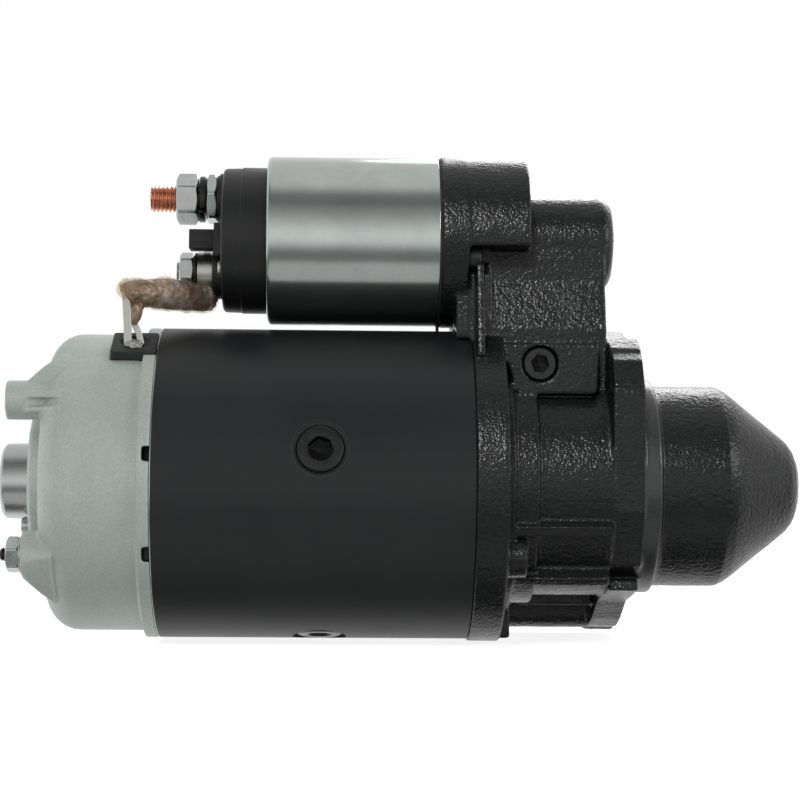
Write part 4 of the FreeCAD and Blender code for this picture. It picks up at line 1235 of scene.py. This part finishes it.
def lead_radius(along, angle):
    """Radius of the varnished bundle; along runs 0 to 1 from the lug to the strips."""
    r = 5.5 + 0.35 * math.exp(-((along - 0.42) / 0.20) ** 2)
    r -= 0.8 * smoothstep(along, 0.66, 0.92)
    r -= 0.7 * (1 - smoothstep(along, 0.0, 0.10))
    # bulge beside the nut
    r += 1.15 * math.exp(-((along - 0.45) / 0.09) ** 2) * max(0.0, -math.sin(angle)) ** 2
    return r * (1 - 0.55 * smoothstep(along, 0.955, 1.0))


def lump(length, angle, per_mm, round_scale, offset=0.0):
    """Noise on a tube's surface."""
    return noise.noise((length * per_mm + offset, math.cos(angle) * round_scale,
                        math.sin(angle) * round_scale))


def braid_radius(length, angle, along):
    """Woven strands: two families of helices crossing."""
    strands, twist = 9, 0.62
    one = abs(math.sin(0.5 * (strands * angle + twist * length * 2)))
    other = abs(math.sin(0.5 * (strands * angle - twist * length * 2)))
    lumps = 0.45 * lump(length, angle, 0.16, 0.9)
    return lead_radius(along, angle) - 1.0 + lumps + 0.42 * max(one, other)


def sleeve_radius(length, angle, along):
    return (lead_radius(along, angle) + 0.62 * lump(length, angle, 0.20, 1.1, 3.0)
            + 0.26 * lump(length, angle, 0.62, 2.3, 9.0)
            + 0.06 * lump(length, angle, 1.5, 4.0, 5.0))


def lip_radius(length, angle, along):
    taper = math.sin(math.pi * min(max(along, 0.04), 0.96)) ** 0.5
    return 1.75 * taper * (1 + 0.18 * math.sin(3 * angle + length))


def tail_radius(length, angle, along):
    return (2.3 - 1.5 * along) * (1 + 0.16 * math.sin(5 * angle + 1.4 * length))


def build_lead():
    braid = tube_along("motor_lead_braid", LEAD_LINE, count=300, around=96,
                       radius=braid_radius, material=MAT["braid"])
    sleeve = tube_along("motor_lead_sleeve", LEAD_LINE, count=240, around=88,
                        radius=sleeve_radius, material=MAT["sleeve"], cap=False)
    place(braid, "motor_lead")
    place(sleeve)
    # lobe of set varnish at the far end
    lip = tube_along("motor_lead_sleeve_lip", LIP_LINE, count=40, around=28,
                     radius=lip_radius, material=MAT["sleeve"])
    place(lip)
    # tail of braid that hangs beside the strips
    tail = tube_along("motor_lead_tail", TAIL_LINE, count=60, around=32,
                      radius=tail_radius, material=MAT["braid"])
    place(tail)


def strip(name, line, y, width, thick, edge):
    """Flat strip along (x, z) points, standing in the plane at y."""
    count = len(line)
    verts = []
    for i, (x, z) in enumerate(line):
        x0, z0 = line[max(i - 1, 0)]
        x1, z1 = line[min(i + 1, count - 1)]
        along = Vector((x1 - x0, z1 - z0)).normalized()
        for t, w in ((-0.5, -0.5), (0.5, -0.5), (0.5, 0.5), (-0.5, 0.5)):
            verts.append((x - along.y * width * w, thick * t, z + along.x * width * w))
    faces = skin(count, 4)
    faces += [(3, 2, 1, 0), tuple((count - 1) * 4 + k for k in range(4))]
    obj = mesh_object(name, verts, faces, MAT["tinned"], smooth=False)
    bevel(obj, edge, segments=3, over=40, smooth=60)
    shift(obj, y=y)
    return obj


# Centre lines (x, z)
OUTER_STRIP = [(-186.1, 43.8), (-186.2, 51.0), (-186.4, 57.0), (-186.8, 63.0), (-187.1, 69.0)]
INNER_STRIP = [(-181.9, 45.4), (-181.7, 50.4), (-182.6, 54.0), (-184.2, 57.6), (-184.9, 62.0),
               (-185.0, 67.5)]


def build_strips():
    strips = [strip("outer", OUTER_STRIP, y=-27.9, width=2.9, thick=1.1, edge=0.3),
              strip("inner", INNER_STRIP, y=-25.6, width=2.4, thick=1.0, edge=0.28)]
    place(join("lead_strip_pair", strips), "lead_strips")
    # solder lump where the strips enter the grommet
    centre = Vector((-183.8 * MM, -0.9 * MM, 57.0 * MM))
    bm = bmesh.new()
    bmesh.ops.create_icosphere(bm, subdivisions=5, radius=1.0)
    for v in bm.verts:
        p = v.co.copy()
        k = (1 + 0.20 * noise.noise(p * 1.7) + 0.12 * noise.noise(p * 5.0)
             + 0.05 * noise.noise(p * 12.0))
        v.co = Vector((p.x * 3.3 * k, p.y * 2.4 * k, p.z * 1.9 * k)) * MM + centre
    solder = object_from_bmesh("lead_solder_lump", "solder", bm, MAT["tinned"], smooth=True)
    turn(solder, GROMMET_TILT, "X")
    place(solder)


def rounded_plate(name, xs, ys, zs, radius, material):
    """Level plate with rounded corners in plan."""
    x0, x1 = xs[0] + radius, xs[1] - radius
    y0, y1 = ys[0] + radius, ys[1] - radius
    outline = []
    steps = 8
    for x, y, start in ((x1, y1, 0), (x0, y1, 90), (x0, y0, 180), (x1, y0, 270)):
        for k in range(steps + 1):
            a = math.radians(start + 90 * k / steps)
            outline.append((x + radius * math.cos(a), y + radius * math.sin(a)))
    m = len(outline)
    verts = [(x, y, z) for z in zs for x, y in outline]
    faces = [tuple(range(m - 1, -1, -1)), tuple(range(m, 2 * m))] + skin(2, m)
    return mesh_object(name, verts, faces, material, smooth=False)


def build_grommet():
    rubber = MAT["rubber"]
    obj = rounded_plate("lead_grommet_rubber", (-191.8, -175.6), (-8.1, 8.1), (54.3, 57.7),
                        radius=1.3, material=rubber)
    neck = rounded_plate("neck", (-191.2, -176.0), (-7.9, 7.9), (50.5, 54.6), radius=1.5,
                         material=rubber)
    boolean(obj, neck, "UNION")
    # dished oval round the strips
    bm = bmesh.new()
    bmesh.ops.create_uvsphere(bm, u_segments=48, v_segments=24, radius=1.0)
    for v in bm.verts:
        x, y, z = v.co
        v.co = Vector((x * 5.9 * MM - 183.6 * MM, y * 5.2 * MM, z * 2.0 * MM + 58.0 * MM))
    boolean(obj, object_from_bmesh("dish", "dish", bm, rubber, smooth=False))
    bevel(obj, 0.4, segments=3, over=35, smooth=40)
    turn(obj, GROMMET_TILT, "X")
    place(obj, "lead_grommet")


# =====================================================================================
# Pinion
# =====================================================================================
TEETH = 9
TIP_RADIUS, ROOT_RADIUS, BORE_RADIUS = 17.6, 10.9, 9.02
GEAR_X0, GEAR_X1 = 8.0, 30.0
# (x, limit on the radius as a share of the tip radius)
GEAR_STATIONS = [(GEAR_X0, 0.93), (8.5, 1.0), (27.6, 1.0), (29.2, 0.93), (GEAR_X1, 0.86)]
# Hub and collar at the gear's -X end: (x, r)
PINION_HUB = [(-23.5, 10.0), (-23.5, 13.4), (-2.5, 13.4), (-2.5, 17.0), (0.0, 17.0),
              (0.0, 13.0), (8.2, 13.0), (8.2, BORE_RADIUS), (-7.0, BORE_RADIUS), (-7.0, 10.0)]


def tooth_half_angle(r):
    t = (r - ROOT_RADIUS) / (TIP_RADIUS - ROOT_RADIUS)
    return math.radians(13.6) * (1 - t) ** 1.35 + math.radians(4.4) + math.radians(1.6) * (1 - t)


def build_pinion():
    pitch = 2 * math.pi / TEETH
    steps = 7
    flank = [ROOT_RADIUS + (TIP_RADIUS - ROOT_RADIUS) * q / steps for q in range(steps + 1)]
    outline = []                                # (r, angle)
    for i in range(TEETH):
        middle = pitch * i
        outline += [(r, middle - tooth_half_angle(r)) for r in flank]
        outline.append((TIP_RADIUS, middle))
        outline += [(r, middle + tooth_half_angle(r)) for r in reversed(flank)]
        outline.append((ROOT_RADIUS - 0.05, middle + pitch / 2))
    rings = [(GEAR_X0, BORE_RADIUS)]
    rings += [(x, TIP_RADIUS * share) for x, share in GEAR_STATIONS]
    rings.append((GEAR_X1, BORE_RADIUS))
    verts = []
    for x, limit in rings:
        for r, a in outline:
            r = min(r, limit)
            verts.append((x, r * math.cos(a), r * math.sin(a)))
    faces = skin(len(rings), len(outline), closed=True)
    gear = mesh_object("gear", verts, faces, MAT["machined"])
    smooth_by_angle(gear, 32)
    hub = lathe("hub", PINION_HUB, MAT["machined"], rounding=0.35, steps=3)
    place(join("pinion_gear_cut", [gear, hub]), "pinion", body="pinion_gear")


# =====================================================================================
# CAD pieces kept as they are: node -> material, machined steel where not listed
# =====================================================================================
CAD_LOOKS = {
    "pole_shoes": "dark_steel", "armature_core": "dark_steel", "engagement_lever": "dark_steel",
    "field_coils": "wire", "armature_windings": "wire", "solenoid_winding": "wire",
    "commutator": "copper", "contact_bridge": "copper",
    "rear_bush": "bronze", "middle_bush": "bronze", "nose_bush": "bronze",
    "pinion_bush": "bronze",
    "brushes": "carbon", "brush_plate": "zinc_nut", "brush_holders": "zinc_nut",
    "brush_springs": "spring", "clutch_roller_springs": "spring", "meshing_spring": "spring",
    "return_spring": "spring", "contact_spring": "spring",
    "middle_bearing_plate": "cast_alloy", "guide_ring": "moulding",
    "solenoid_bobbin": "moulding", "motor_lead_lug": "tinned",
}


def paint_cad_pieces():
    for name in frame["nodes"]:
        if name in REPLACED:
            continue
        obj = frame["nodes"][name]
        material = MAT[CAD_LOOKS.get(name, "machined")]
        if not obj.material_slots:
            obj.data.materials.append(material)
        for slot in obj.material_slots:
            slot.material = material


for build in (build_housing, build_cover, build_yoke, build_pole_screws, build_solenoid_case,
              build_seal_ring, build_bearing_cap, build_cap_screws, build_through_bolts,
              build_flange_nuts, build_terminals, build_switch_cap, build_pivot_bolt,
              build_solenoid_screws, build_lead, build_strips, build_grommet, build_pinion,
              paint_cad_pieces):
    build()


# =====================================================================================
# Studio: floor, world, lights, camera (metres, except the floor's mesh)
# =====================================================================================
FLOOR_GAP = 0.35            # mm below the lowest point
FLOOR_HALF = 6000.0         # mm


def make_floor():
    """White floor, hidden from reflections and bounced light."""
    m = Material("studio_floor")
    base = m.ramp(m.noise(scale=3, detail=3, rough=0.5), (0.3, 0.56), (0.7, 0.60))
    material = m.surface(base, 0.85, specular=0.1)
    m.feed(m.shader.inputs["Emission Color"], (1, 1, 1))
    m.feed(m.shader.inputs["Emission Strength"], 0.84)
    z = CAD_LO[2] * 1000 - FLOOR_GAP
    corners = ((-1, -1), (1, -1), (1, 1), (-1, 1))
    verts = [(x * FLOOR_HALF, y * FLOOR_HALF, z) for x, y in corners]
    floor = mesh_object("studio_floor", verts, [(0, 1, 2, 3)], material, smooth=False,
                        outward=False)
    floor.visible_glossy = False
    floor.visible_diffuse = False


# Brightness of the surroundings by elevation: (degrees above the horizon, level)
FRONT_LEVELS = [(-90, 0.03), (-72, 0.04), (-66, 0.50), (-36, 0.52), (-31, 0.20), (-20, 0.22),
                (-5, 0.85), (6, 0.85), (30, 0.40), (48, 0.18), (60, 0.24), (74, 0.66),
                (90, 0.72)]
BACK_LEVELS = [(-90, 0.04), (-75, 0.10), (-55, 0.95), (0, 1.0), (50, 0.72), (90, 0.68)]


def make_world():
    """Banded surroundings for lighting and reflections; plain white to the camera."""
    world = bpy.data.worlds.new("studio")
    bpy.context.scene.world = world
    n = Nodes(world)
    output = n.add("OutputWorld")
    direction = n.add("VectorMath", operation="NORMALIZE")
    n.feed(direction.inputs[0], n.add("TexCoord").outputs["Generated"])
    split = n.add("SeparateXYZ")
    n.feed(split.inputs[0], direction.outputs[0])
    elevation = n.math("ARCSINE", split.outputs["Z"])
    height = n.remap(elevation, to=(0.0, 1.0), within=(-math.pi / 2, math.pi / 2))
    front, back = [n.ramp(height, *[((degrees + 90.0) / 180.0, level)
                                    for degrees, level in levels])
                   for levels in (FRONT_LEVELS, BACK_LEVELS)]
    to_camera = n.add("VectorTransform", vector_type="VECTOR", convert_from="WORLD",
                      convert_to="CAMERA")
    n.feed(to_camera.inputs[0], direction.outputs[0])
    split_camera = n.add("SeparateXYZ")
    n.feed(split_camera.inputs[0], to_camera.outputs[0])
    facing = n.remap(split_camera.outputs["Z"], to=(0.0, 1.0), within=(-0.25, 0.25))
    backgrounds = []
    for color in (n.mix(facing, front, back), (1, 1, 1)):
        background = n.add("Background")
        n.feed(background.inputs[0], color)
        n.feed(background.inputs[1], 1.0)
        backgrounds.append(background.outputs[0])
    camera_ray = n.add("LightPath").outputs["Is Camera Ray"]
    n.feed(output.inputs[0], n.mix_shaders(camera_ray, *backgrounds))


def aim_at(obj, target):
    """Rotation that points obj's -Z at the target."""
    return (Vector(target) - obj.location).to_track_quat("-Z", "Y")


def area_light(name, location, size, power, target=(-0.09, 0, 0.03)):
    light = bpy.data.lights.new(name, "AREA")
    light.shape = "RECTANGLE"
    light.size, light.size_y = size
    light.energy = power
    obj = bpy.data.objects.new(name, light)
    COLLECTION.objects.link(obj)
    obj.location = location
    obj.rotation_mode = "QUATERNION"
    obj.rotation_quaternion = aim_at(obj, target)
    return obj


def make_lights():
    key = area_light("key_front", (-0.45, -0.95, 0.75), size=(0.5, 0.5), power=5.0)
    key.visible_glossy = False
    # a small light that only the painted casting receives, for glints on its pebbled paint
    spark = area_light("casting_glints", (-0.30, -1.05, 0.62), size=(0.16, 0.16), power=7.0,
                       target=(-0.02, 0, 0.03))
    receivers = bpy.data.collections.new("glint_receivers")
    for obj in bpy.data.objects:
        if obj.type == "MESH" and any(slot.material and slot.material.name.startswith("cast_black")
                                      for slot in obj.material_slots):
            receivers.objects.link(obj)
    spark.light_linking.receiver_collection = receivers
    area_light("rim_back", (0.3, 1.0, 0.8), size=(0.7, 0.5), power=5.0)
    area_light("nose_side", (1.0, -0.5, 0.5), size=(0.4, 0.4), power=3.0)


def make_camera():
    data = bpy.data.cameras.new("cam")
    data.lens = 89.8
    data.sensor_width = 36.0
    data.clip_start = 0.05
    data.clip_end = 50
    camera = bpy.data.objects.new("cam", data)
    COLLECTION.objects.link(camera)
    camera.location = (-0.1112, -0.750, 0.0)
    roll = Quaternion((0, 0, 1), math.radians(0.45))
    camera.rotation_mode = "QUATERNION"
    camera.rotation_quaternion = aim_at(camera, (-0.0868, 0.0, 0.0316)) @ roll
    bpy.context.scene.camera = camera
    view = bpy.context.scene.view_settings
    view.view_transform = "Standard"
    view.look = "None"
    view.exposure = 0.0


make_floor()
make_world()
make_lights()
make_camera()
